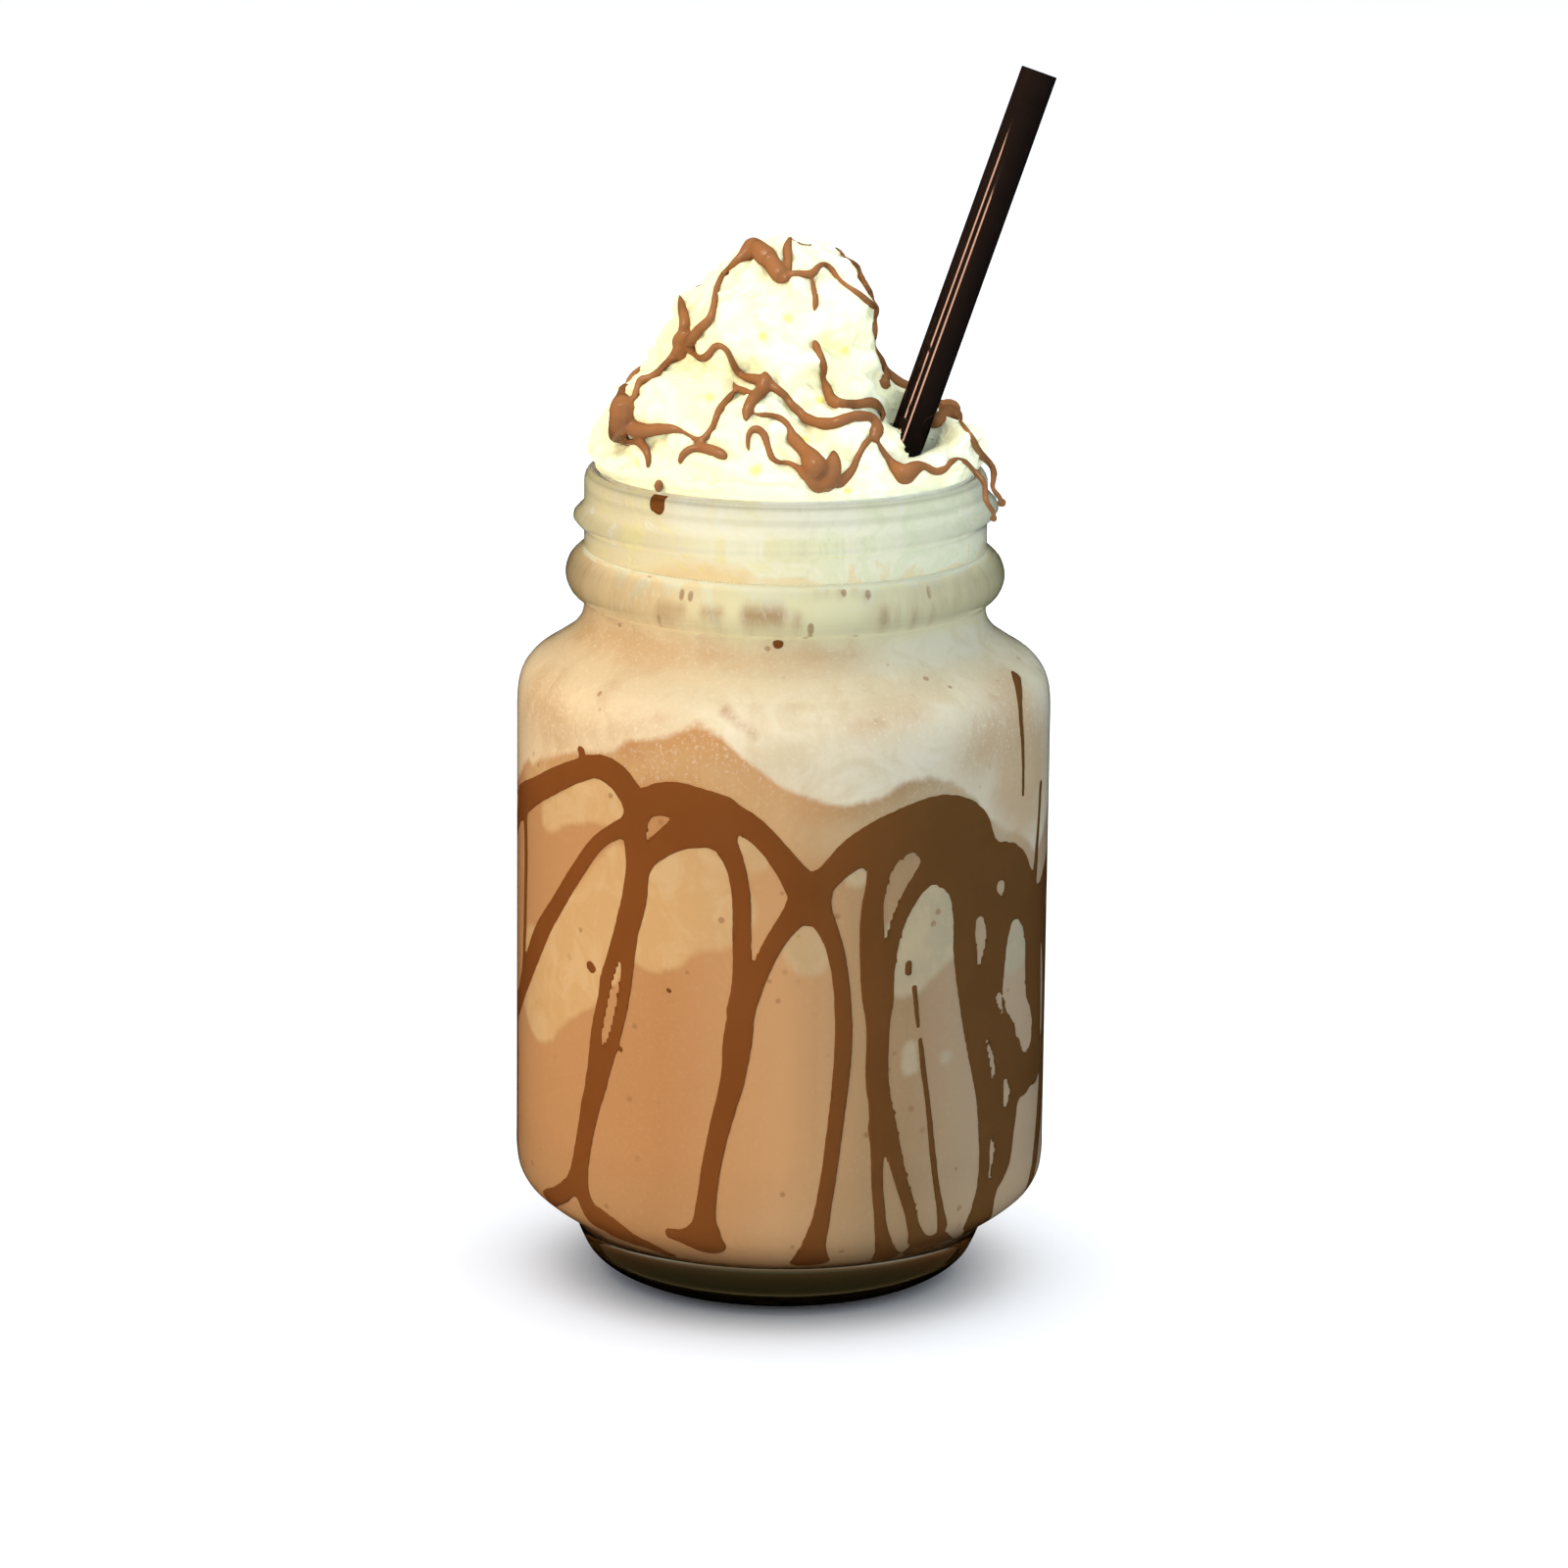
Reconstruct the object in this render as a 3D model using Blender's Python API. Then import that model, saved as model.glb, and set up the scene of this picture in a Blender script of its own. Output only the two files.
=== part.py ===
"""Milkshake in a round clear drinking jar with a screw-thread neck, whipped cream, sauce strands
and a straight straw. Metres, +Z up, the jar's axis on Z and its foot on z = 0.
"""
import math

import bmesh
import bpy
from mathutils import Matrix
from mathutils import Vector
from mathutils.bvhtree import BVHTree
from mathutils.geometry import interpolate_bezier

MM = 0.001

# Jar, in millimetres.
JAR_HEIGHT = 136.0
BODY_RADIUS = 44.05
WALL = 2.85
MOUTH_RADIUS = 30.2
NECK_RADIUS = 33.1
BEAD_RADIUS = 36.1
BEAD_HEIGHT_AT = 119.1
THREAD_RADIUS = 34.9
THREAD_HALF_HEIGHT = 2.5
THREAD_LEFT_Z = 128.2
THREAD_PITCH = 4.0
FOOT_RADIUS = 34.1
BEARING_OUTER = 23.6
BEARING_INNER = 17.5
FLOOR_Z = 9.5
JAR_SEGMENTS = 40

# Space kept between neighbouring pieces.
GAP = 0.3

# Drink and cream.
DRINK_TOP = 122.6
CREAM_HEIGHT = 38.9
CREAM_SEGMENTS = 40

# Straw.
STRAW_RADIUS = 3.0
STRAW_BORE_RADIUS = 2.65
STRAW_TOP = Vector((40.0, 0.7, 200.6))
STRAW_FOOT = Vector((-24.2, -20.1, 16.0))
STRAW_SIDES = 24

# Front drawing of the strands: its eye point in millimetres, its centre and reach in drawing
# units, its tilt down and its small lean to the right.
EYE = Vector((0.0, -1067.3, 334.7))
DRAWING_CENTRE = (798.0, 885.0)
DRAWING_REACH = 6750.0
DRAWING_TILT = math.radians(14.0)
DRAWING_LEAN = 0.0104
UNIT = 0.161

# Drape height of a strand's centre over the cream, as a share of its radius.
STRAND_LIFT = 0.35
STRAND_SIDES = 5
STRAND_STEP = 24.0


def material(name, colour, roughness, transmission=0.0, ior=1.45):
    mat = bpy.data.materials.new(name)
    mat.use_nodes = True
    shader = mat.node_tree.nodes["Principled BSDF"]
    shader.inputs["Base Color"].default_value = (*colour, 1.0)
    shader.inputs["Roughness"].default_value = roughness
    shader.inputs["Transmission Weight"].default_value = transmission
    shader.inputs["IOR"].default_value = ior
    mat.diffuse_color = (*colour, 1.0)
    return mat


def finish_mesh(bm, name, mat=None):
    bmesh.ops.recalc_face_normals(bm, faces=bm.faces)
    if bm.calc_volume(signed=True) < 0:
        bmesh.ops.reverse_faces(bm, faces=bm.faces)
    mesh = bpy.data.meshes.new(name)
    bm.to_mesh(mesh)
    bm.free()
    obj = bpy.data.objects.new(name, mesh)
    bpy.context.scene.collection.objects.link(obj)
    if mat:
        mesh.materials.append(mat)
    return obj


def spin_profile(rows, segments):
    """Turn a list of (radius, z) points in millimetres about Z; ends on the axis close there."""
    bm = bmesh.new()
    verts = [bm.verts.new((r * MM, 0.0, z * MM)) for r, z in rows]
    edges = [bm.edges.new(pair) for pair in zip(verts[:-1], verts[1:])]
    bmesh.ops.spin(bm, geom=verts + edges, cent=(0, 0, 0), axis=(0, 0, 1), angle=math.tau,
                   steps=segments, use_merge=True)
    bmesh.ops.remove_doubles(bm, verts=bm.verts, dist=1e-6)
    return bm


def smooth_bump(value):
    return 0.5 + 0.5 * math.cos(math.pi * min(1.0, abs(value)))


# Inner wall from the middle of the floor up to the lip.
INNER_WALL = [
    (0.0, FLOOR_Z), (16.0, FLOOR_Z + 0.1), (27.0, FLOOR_Z + 0.7), (33.0, FLOOR_Z + 2.4),
    (37.6, FLOOR_Z + 6.0), (40.3, FLOOR_Z + 11.5), (BODY_RADIUS - WALL, FLOOR_Z + 18.0),
    (BODY_RADIUS - WALL, 97.0), (40.5, 100.5), (38.6, 102.8), (35.2, 104.9), (32.2, 107.4),
    (30.6, 110.8), (MOUTH_RADIUS, 114.5), (MOUTH_RADIUS, JAR_HEIGHT - 1.4),
]

# Lip, bead, neck, shoulder, body, rounded bottom and foot, from the lip down the outer side.
LIP = [
    (30.7, JAR_HEIGHT - 0.4), (31.65, JAR_HEIGHT), (32.6, JAR_HEIGHT - 0.4),
    (33.05, JAR_HEIGHT - 1.4),
]
THREAD_ROWS = [(NECK_RADIUS, z) for z in (132.9, 131.7, 130.6, 129.5, 128.4, 127.3, 126.2, 125.2)]
BEAD = [
    (NECK_RADIUS + 0.1, 124.2), (34.7, 122.7), (35.8, 121.0), (BEAD_RADIUS, BEAD_HEIGHT_AT),
    (35.8, 117.2), (34.8, 115.5), (33.5, 114.1), (NECK_RADIUS, 112.9),
]
SHOULDER = [
    (33.5, 111.0), (35.4, 108.7), (38.7, 106.4), (41.3, 104.7), (43.0, 102.6), (43.8, 100.2),
    (BODY_RADIUS, 97.0),
]
BOTTOM = [
    (BODY_RADIUS, 21.5), (43.6, 18.3), (42.3, 15.9), (39.6, 13.5), (36.6, 11.4), (34.7, 10.0),
]
FOOT = [
    (FOOT_RADIUS, 8.8), (33.1, 6.4), (31.9, 4.2), (29.8, 2.3), (26.8, 0.8),
    (BEARING_OUTER, 0.0), (BEARING_INNER, 0.0), (15.0, 0.6), (0.0, 1.6),
]


def build_jar(mat):
    """Pressed glass: a turned section, with the neck's thread raised along a helix."""
    rows = INNER_WALL + LIP + THREAD_ROWS + BEAD + SHOULDER + BOTTOM + FOOT
    bm = spin_profile(rows, JAR_SEGMENTS)
    start = math.radians(40.0)
    run = math.radians(410.0)
    fade = math.radians(30.0)
    for vert in bm.verts:
        x, y, z = vert.co / MM
        radius = math.hypot(x, y)
        if not (125.0 < z < 133.2 and radius > NECK_RADIUS - 0.3):
            continue
        rise = 0.0
        angle = math.atan2(y, x) % math.tau
        for turn in (0, 1):
            along = angle + turn * math.tau
            if not start < along < start + run:
                continue
            centre = THREAD_LEFT_Z + THREAD_PITCH * (along - math.pi) / math.tau
            ends = min(1.0, (along - start) / fade, (start + run - along) / fade)
            bump = smooth_bump((z - centre) / THREAD_HALF_HEIGHT) * smooth_bump(1.0 - ends)
            rise = max(rise, bump)
        grown = radius + rise * (THREAD_RADIUS - NECK_RADIUS)
        vert.co.x *= grown / radius
        vert.co.y *= grown / radius
    return finish_mesh(bm, "jar", mat)


def tube(centres, radii, sides, name):
    """Closed round bar through the given centres, all in millimetres."""
    bm = bmesh.new()
    rings = []
    side_hint = Vector((0.31, 0.87, 0.38))
    for i, centre in enumerate(centres):
        ahead = centres[min(i + 1, len(centres) - 1)] - centres[max(i - 1, 0)]
        ahead.normalize()
        across = side_hint - ahead * side_hint.dot(ahead)
        across.normalize()
        side_hint = across
        other = ahead.cross(across)
        ring = []
        for k in range(sides):
            turn = math.tau * k / sides
            offset = across * math.cos(turn) + other * math.sin(turn)
            ring.append(bm.verts.new((centre + offset * radii[i]) * MM))
        rings.append(ring)
    for low, high in zip(rings[:-1], rings[1:]):
        for k in range(sides):
            n = (k + 1) % sides
            bm.faces.new((low[k], low[n], high[n], high[k]))
    bm.faces.new(list(reversed(rings[0])))
    bm.faces.new(rings[-1])
    return finish_mesh(bm, name)


def straw_bar(radius, extra_foot, extra_top, name):
    along = (STRAW_TOP - STRAW_FOOT).normalized()
    ends = [STRAW_FOOT - along * extra_foot, STRAW_TOP + along * extra_top]
    return tube(ends, [radius, radius], STRAW_SIDES, name)


def boolean(target, other, operation, solver="EXACT"):
    mod = target.modifiers.new("cut", "BOOLEAN")
    mod.operation = operation
    mod.solver = solver
    if isinstance(other, bpy.types.Collection):
        mod.operand_type = "COLLECTION"
        mod.collection = other
    else:
        mod.object = other
    with bpy.context.temp_override(object=target, active_object=target):
        bpy.ops.object.modifier_apply(modifier=mod.name)


def remove_object(obj):
    mesh = obj.data
    bpy.data.objects.remove(obj)
    bpy.data.meshes.remove(mesh)


def build_straw(mat):
    """Extruded plastic tube, cut square at both ends."""
    straw = straw_bar(STRAW_RADIUS, 0.0, 0.0, "straw")
    bore = straw_bar(STRAW_BORE_RADIUS, 2.0, 2.0, "straw_bore")
    boolean(straw, bore, "DIFFERENCE")
    remove_object(bore)
    straw.data.materials.append(mat)
    return straw


def build_milkshake(mat):
    """What fills the body and shoulder, one gap inside the glass, bored round the straw."""
    rows = []
    for radius, z in INNER_WALL[:-1]:
        inset = GAP + 0.05
        if radius == 0.0:
            rows.append((0.0, z + inset))
        elif z < FLOOR_Z + 3.0:
            rows.append((radius, z + inset))
        elif z < FLOOR_Z + 12.0:
            rows.append((radius - inset * 0.9, z + inset * 0.7))
        elif 100.0 < z < 112.0:
            rows.append((radius - inset * 0.95, z - inset * 0.6))
        else:
            rows.append((radius - inset, z))
    rows += [(MOUTH_RADIUS - GAP - 0.05, DRINK_TOP), (20.0, DRINK_TOP + 0.2),
             (10.0, DRINK_TOP - 0.1), (0.0, DRINK_TOP + 0.1)]
    bm = spin_profile(rows, JAR_SEGMENTS)
    for vert in bm.verts:
        if vert.co.z / MM > DRINK_TOP - 0.3:
            x, y, _ = vert.co / MM
            wave = 0.7 * math.sin(0.16 * x + 0.8) + 0.5 * math.sin(0.21 * y - 0.4 + 0.05 * x)
            vert.co.z += wave * MM
    drink = finish_mesh(bm, "milkshake", mat)
    bore = straw_bar(STRAW_RADIUS + GAP, GAP, 5.0, "drink_bore")
    boolean(drink, bore, "DIFFERENCE")
    remove_object(bore)
    return drink


# Mound of cream by height over the rim: (height, reach to the left, reach to the right).
MOUND = [
    (1.4, 32.5, 32.4), (3.5, 32.8, 32.4), (7.6, 31.2, 30.6), (10.6, 29.4, 26.4),
    (12.8, 28.0, 20.5), (14.6, 25.4, 17.6), (17.3, 22.2, 16.5), (21.0, 19.8, 16.0),
    (24.5, 18.8, 15.7), (28.0, 17.4, 15.3), (31.0, 13.8, 13.9), (33.6, 10.8, 12.0),
    (36.0, 8.2, 8.8), (37.8, 5.2, 3.6),
]


def crag(angle, height):
    """Uneven surface of piped cream: soft folds round the mound, finer ones over them."""
    folds = 0.9 * math.sin(4 * angle + 0.33 * height + 0.6)
    folds += 0.7 * math.sin(7 * angle - 0.47 * height + 2.1)
    folds += 0.6 * math.sin(11 * angle + 0.81 * height + 4.0)
    folds += 0.5 * math.sin(3 * angle + 1.15 * height)
    return folds


def mound_mesh(skirt):
    """Cream from the drink's top to the peak; the skirt is only a guide for hanging strands."""
    bm = bmesh.new()
    inner = MOUTH_RADIUS - GAP - 0.05
    rings = []
    if skirt:
        plan = [(-12.0, 36.4), (-3.0, 36.4), (-0.6, 35.6), (0.6, 34.2)]
    else:
        plan = [(DRINK_TOP - JAR_HEIGHT, inner), (-7.0, inner), (-1.2, inner), (0.45, 31.0)]
    for height, reach in plan:
        rings.append((height, reach, reach, 0.0))
    for height, left, right in MOUND:
        rings.append((height, left, right, 1.0 if height > 4 else 0.35))
    layers = []
    for height, left, right, rough in rings:
        middle = 0.5 * (right - left)
        reach = 0.5 * (right + left)
        layer = []
        for k in range(CREAM_SEGMENTS):
            angle = math.tau * k / CREAM_SEGMENTS
            out = reach + rough * crag(angle, height) * min(1.0, reach / 12.0)
            z = JAR_HEIGHT + height
            x = middle + out * math.cos(angle)
            y = out * math.sin(angle)
            if not skirt and height < -10.0:
                z += 0.7 * math.sin(0.16 * x + 0.8) + 0.5 * math.sin(0.21 * y - 0.4 + 0.05 * x)
                z += GAP + 0.15
            layer.append(bm.verts.new(Vector((x, y, z)) * MM))
        layers.append(layer)
    for low, high in zip(layers[:-1], layers[1:]):
        for k in range(CREAM_SEGMENTS):
            n = (k + 1) % CREAM_SEGMENTS
            bm.faces.new((low[k], low[n], high[n], high[k]))
    peak = bm.verts.new(Vector((-1.8, 0.0, JAR_HEIGHT + CREAM_HEIGHT)) * MM)
    for k in range(CREAM_SEGMENTS):
        bm.faces.new((layers[-1][k], layers[-1][(k + 1) % CREAM_SEGMENTS], peak))
    if not skirt:
        ring = layers[0]
        for radius, lift in ((20.0, 0.2), (10.0, -0.1)):
            below = []
            for k in range(CREAM_SEGMENTS):
                angle = math.tau * k / CREAM_SEGMENTS
                x = radius * math.cos(angle)
                y = radius * math.sin(angle)
                z = DRINK_TOP + lift + GAP + 0.15
                z += 0.7 * math.sin(0.16 * x + 0.8) + 0.5 * math.sin(0.21 * y - 0.4 + 0.05 * x)
                below.append(bm.verts.new(Vector((x, y, z)) * MM))
            for k in range(CREAM_SEGMENTS):
                n = (k + 1) % CREAM_SEGMENTS
                bm.faces.new((ring[n], ring[k], below[k], below[n]))
            ring = below
        z = DRINK_TOP + 0.1 + GAP + 0.15 + 0.7 * math.sin(0.8) + 0.5 * math.sin(-0.4)
        middle = bm.verts.new(Vector((0.0, 0.0, z)) * MM)
        for k in range(CREAM_SEGMENTS):
            bm.faces.new((ring[(k + 1) % CREAM_SEGMENTS], ring[k], middle))
    return bm


def sight(u, v):
    """Direction from the eye through a point of the front drawing."""
    across = u - DRAWING_CENTRE[0]
    up = DRAWING_CENTRE[1] - v
    lean_across = across * math.cos(DRAWING_LEAN) - up * math.sin(DRAWING_LEAN)
    lean_up = across * math.sin(DRAWING_LEAN) + up * math.cos(DRAWING_LEAN)
    ahead = Vector((0.0, math.cos(DRAWING_TILT), -math.sin(DRAWING_TILT)))
    above = Vector((0.0, math.sin(DRAWING_TILT), math.cos(DRAWING_TILT)))
    line = ahead * DRAWING_REACH + Vector((1.0, 0.0, 0.0)) * lean_across + above * lean_up
    return line.normalized()


def drape(tree, u, v, lift):
    """Where a point of the front drawing lands on the cream, raised by lift."""
    line = sight(u, v)
    spot, normal, _, _ = tree.ray_cast(EYE * MM, line)
    if spot is None:
        # Just past the outline: the nearest place on the cream to the line of sight.
        depth = -EYE.y / line.y
        spot, normal, _, _ = tree.find_nearest((EYE + line * depth) * MM)
    if normal.dot(line) > 0:
        normal = -normal
    return spot / MM + normal * lift


def thin_out(points, step):
    """Evenly spaced points along a smooth curve through the given ones."""
    spots = [Vector(p) for p in points]
    curve = []
    for i in range(len(spots) - 1):
        before = spots[max(i - 1, 0)]
        after = spots[min(i + 2, len(spots) - 1)]
        a, b = spots[i], spots[i + 1]
        handle_a = a + (b - before) / 6
        handle_b = b - (after - a) / 6
        piece = interpolate_bezier(a, handle_a, handle_b, b, 9)
        curve += [Vector(p[:2]) for p in piece[:-1]]
    curve.append(spots[-1])
    length = sum((q - p).length for p, q in zip(curve[:-1], curve[1:]))
    count = max(1, round(length / step))
    spaced = [curve[0]]
    walked = 0.0
    for p, q in zip(curve[:-1], curve[1:]):
        seg = (q - p).length
        while seg > 0 and walked + seg >= length / count * len(spaced) and len(spaced) < count:
            part = (length / count * len(spaced) - walked) / seg
            spaced.append(p.lerp(q, part))
        walked += seg
    spaced.append(curve[-1])
    return spaced


# Strands of sauce on the front, in drawing units: width, then the points they run through.
FRONT_STRANDS = [
    (13, [(771, 257), (756, 266), (739, 282), (730, 297), (730, 314), (720, 331), (704, 353)]),
    (11, [(771, 257), (788, 272), (806, 289)]),
    (9, [(806, 243), (805, 262), (810, 279)]),
    (9, [(802, 285), (819, 280), (830, 280), (840, 271), (856, 286), (869, 297), (891, 314)]),
    (8, [(828, 286), (831, 303), (831, 320)]),
    (9, [(848, 252), (859, 260), (876, 274), (879, 289), (894, 314), (889, 330), (896, 364),
         (901, 393)]),
    (10, [(694, 304), (696, 320), (704, 353), (691, 369), (668, 386), (652, 391), (646, 407)]),
    (10, [(704, 353), (715, 364), (736, 351), (746, 361), (753, 379), (777, 391), (800, 399),
          (816, 418), (838, 432), (861, 431), (886, 427), (893, 449)]),
    (12, [(893, 449), (879, 457), (864, 486), (846, 495)]),
    (12, [(893, 449), (910, 474), (925, 489), (938, 477), (965, 474), (985, 471), (1003, 497),
          (1012, 521), (1013, 532)]),
    (9, [(830, 347), (840, 379), (852, 411), (864, 414), (890, 408), (899, 420), (893, 449)]),
    (9, [(765, 404), (748, 403), (742, 416), (732, 429), (716, 450), (694, 444), (668, 437),
         (640, 428)]),
    (12, [(638, 393), (638, 419), (631, 451)]),
    (9, [(640, 428), (649, 451), (660, 460), (663, 478)]),
    (12, [(694, 474), (698, 463), (712, 457), (728, 461), (743, 470)]),
    (9, [(764, 461), (764, 443), (773, 440), (785, 467), (800, 472), (825, 489), (846, 495)]),
    (10, [(772, 422), (791, 424), (805, 437), (823, 462), (846, 480)]),
    (10, [(966, 424), (987, 439), (1000, 466), (1012, 489), (1021, 512)]),
]

# Round drops and knots: place and width in drawing units.
FRONT_DROPS = [
    (771, 257, 25), (704, 353, 28), (640, 420, 32), (631, 451, 18), (845, 482, 44), (900, 393, 15),
    (893, 445, 26), (925, 489, 26), (966, 424, 34), (777, 391, 18), (1021, 514, 16),
]

# Strands on the far side: a front strand laid again after a turn about the axis.
BACK_STRANDS = [(0, 185), (3, 170), (6, 150), (7, 180), (9, 200), (11, 195), (5, 235)]

# Small mounds of cream standing out of the rest: place near the surface and half width, in mm.
LUMPS = [
    (16.4, -10.8, 142.5, 3.6), (-20.0, -16.5, 149.0, 6.5), (-6.0, -24.0, 146.5, 7.0),
    (9.0, -22.5, 146.0, 6.0), (-9.5, -13.0, 163.5, 6.0), (7.5, -9.5, 166.5, 5.5),
    (-16.0, 17.0, 151.0, 7.0), (12.0, 20.0, 149.0, 7.0), (24.0, -12.5, 143.0, 5.5),
    (1.0, 14.0, 163.0, 6.0),
]


def strand_object(tree, width, points, turn, name):
    radius = 0.5 * width * UNIT
    spaced = thin_out(points, STRAND_STEP)
    centres = [drape(tree, p.x, p.y, radius * STRAND_LIFT) for p in spaced]
    spin = Matrix.Rotation(math.radians(turn), 3, "Z")
    centres = [spin @ c for c in centres]
    if turn:
        # The far side isn't round like the front, so each place is laid down again from outside.
        laid = []
        for c in centres:
            spot, normal, _, _ = tree.find_nearest(c * MM)
            laid.append(spot / MM + normal * radius * STRAND_LIFT)
        centres = laid
    radii = [radius * (1.0 + 0.14 * math.sin(1.7 * i + width)) for i in range(len(centres))]
    radii[0] *= 0.7
    radii[-1] *= 0.8
    return tube(centres, radii, STRAND_SIDES, name)


def drop_object(tree, u, v, width, name):
    bm = bmesh.new()
    radius = 0.5 * width * UNIT
    spot = drape(tree, u, v, radius * 0.1)
    bmesh.ops.create_icosphere(bm, subdivisions=2, radius=radius * MM)
    bmesh.ops.scale(bm, vec=(1.0, 0.75, 0.9), verts=bm.verts)
    bmesh.ops.translate(bm, vec=spot * MM, verts=bm.verts)
    return finish_mesh(bm, name)


def keep_outer_shell(obj):
    """Drop the sealed pockets that strands close off against the cream."""
    bm = bmesh.new()
    bm.from_mesh(obj.data)
    unseen = set(bm.verts)
    shells = []
    while unseen:
        shell = {unseen.pop()}
        front = list(shell)
        while front:
            vert = front.pop()
            for edge in vert.link_edges:
                other = edge.other_vert(vert)
                if other in unseen:
                    unseen.remove(other)
                    shell.add(other)
                    front.append(other)
        shells.append(shell)
    shells.sort(key=len)
    for shell in shells[:-1]:
        bmesh.ops.delete(bm, geom=list(shell), context="VERTS")
    bm.to_mesh(obj.data)
    bm.free()
    return [len(shell) for shell in shells]


def build_cream(mat):
    """Whipped cream from the neck up, with the thick sauce strands fused to it."""
    guide = bmesh.new()
    for skirt in (False, True):
        layer = mound_mesh(skirt)
        if skirt:
            doomed = [v for v in layer.verts if v.co.z / MM > JAR_HEIGHT + 3.6]
            bmesh.ops.delete(layer, geom=doomed, context="VERTS")
        part = bpy.data.meshes.new("guide_part")
        layer.to_mesh(part)
        layer.free()
        guide.from_mesh(part)
        bpy.data.meshes.remove(part)
    tree = BVHTree.FromBMesh(guide)
    guide.free()

    cream = finish_mesh(mound_mesh(False), "whipped_cream", mat)
    toppings = bpy.data.collections.new("toppings")
    bpy.context.scene.collection.children.link(toppings)
    added = []
    for i, (x, y, z, radius) in enumerate(LUMPS):
        bm = bmesh.new()
        spot, normal, _, _ = tree.find_nearest(Vector((x, y, z)) * MM)
        centre = spot - normal * radius * 0.45 * MM
        bmesh.ops.create_icosphere(bm, subdivisions=2, radius=radius * MM)
        bmesh.ops.scale(bm, vec=(1.2, 1.05, 0.85), verts=bm.verts)
        bmesh.ops.translate(bm, vec=centre, verts=bm.verts)
        added.append(finish_mesh(bm, f"lump_{i}"))
    for i, (width, points) in enumerate(FRONT_STRANDS):
        added.append(strand_object(tree, width, points, 0.0, f"strand_{i}"))
    for i, (source, turn) in enumerate(BACK_STRANDS):
        width, points = FRONT_STRANDS[source]
        added.append(strand_object(tree, width, points, turn, f"back_strand_{i}"))
    for i, (u, v, width) in enumerate(FRONT_DROPS):
        added.append(drop_object(tree, u, v, width, f"drop_{i}"))
    for obj in added:
        bpy.context.scene.collection.objects.unlink(obj)
        toppings.objects.link(obj)
    boolean(cream, toppings, "UNION", "MANIFOLD")
    for obj in added:
        remove_object(obj)
    bpy.data.collections.remove(toppings)

    bore = straw_bar(STRAW_RADIUS + GAP, 0.0, 5.0, "cream_bore")
    boolean(cream, bore, "DIFFERENCE", "MANIFOLD")
    remove_object(bore)
    keep_outer_shell(cream)
    return cream


def main():
    for obj in list(bpy.data.objects):
        bpy.data.objects.remove(obj)
    glass = material("clear_glass", (0.93, 0.96, 0.93), 0.02, 1.0, 1.5)
    shake = material("milkshake_drink", (0.56, 0.28, 0.11), 0.35)
    cream = material("cream_and_sauce", (0.95, 0.93, 0.83), 0.5)
    plastic = material("black_plastic", (0.01, 0.009, 0.008), 0.25)
    build_jar(glass)
    build_milkshake(shake)
    build_cream(cream)
    build_straw(plastic)


main()
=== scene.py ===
import math

import bmesh
import bpy
import numpy as np
from mathutils import Matrix, Vector, noise
from mathutils.bvhtree import BVHTree


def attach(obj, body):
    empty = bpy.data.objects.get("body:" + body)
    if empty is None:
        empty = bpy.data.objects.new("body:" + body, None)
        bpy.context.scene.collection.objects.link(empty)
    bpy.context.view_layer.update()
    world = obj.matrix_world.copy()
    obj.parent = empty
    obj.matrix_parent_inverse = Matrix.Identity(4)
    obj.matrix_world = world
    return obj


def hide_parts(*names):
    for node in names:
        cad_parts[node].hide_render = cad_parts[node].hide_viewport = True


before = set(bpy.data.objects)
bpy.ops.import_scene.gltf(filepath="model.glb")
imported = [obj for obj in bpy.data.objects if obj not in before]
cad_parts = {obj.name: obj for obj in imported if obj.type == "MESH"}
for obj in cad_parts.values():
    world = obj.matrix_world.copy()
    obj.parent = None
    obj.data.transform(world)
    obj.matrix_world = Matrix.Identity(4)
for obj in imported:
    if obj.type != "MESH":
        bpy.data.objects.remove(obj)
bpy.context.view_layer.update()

# Camera
# A long lens a little over a metre from the jar, 14 degrees above it, with the jar leaning
# half a degree to the right in the frame. Sizes below are in millimetres.
MM = 0.001
FRAME_SIDE = 1600
LENS_REACH = 6750.0
EYE = Vector((0.0, -1067.3, 334.7)) * MM
AIM = Vector((0.0, 0.0, 68.6)) * MM
AIM_SEEN_AT = (798.0, 885.0)
LEAN = math.radians(0.597)

away = (EYE - AIM).normalized()
right = Vector((0.0, 0.0, 1.0)).cross(away).normalized()
upright = Matrix((right, away.cross(right), away)).transposed()
pitch = math.atan((AIM_SEEN_AT[1] - FRAME_SIDE / 2) / LENS_REACH)
yaw = math.atan((AIM_SEEN_AT[0] - FRAME_SIDE / 2) / LENS_REACH)
turned = upright @ Matrix.Rotation(LEAN, 3, "Z") @ Matrix.Rotation(pitch, 3, "X") \
    @ Matrix.Rotation(yaw, 3, "Y")
camera_data = bpy.data.cameras.new("camera")
camera_data.sensor_width = 36.0
camera_data.lens = 36.0 * LENS_REACH / FRAME_SIDE
camera_data.clip_end = 20.0
camera = bpy.data.objects.new("camera", camera_data)
camera.matrix_world = Matrix.Translation(EYE) @ turned.to_4x4()
bpy.context.scene.collection.objects.link(camera)
bpy.context.scene.camera = camera


def line_of_sight(u, v):
    """Direction from the eye through a point of the 1600 x 1600 picture."""
    seen = Vector(((u - FRAME_SIDE / 2) / LENS_REACH, (FRAME_SIDE / 2 - v) / LENS_REACH, -1.0))
    return (turned @ seen).normalized()


def seen_at(spot):
    """Picture point (across, down) and distance from the eye of a place in the scene."""
    local = turned.transposed() @ (spot - EYE)
    return (FRAME_SIDE / 2 + LENS_REACH * local.x / -local.z,
            FRAME_SIDE / 2 - LENS_REACH * local.y / -local.z, -local.z)


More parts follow.
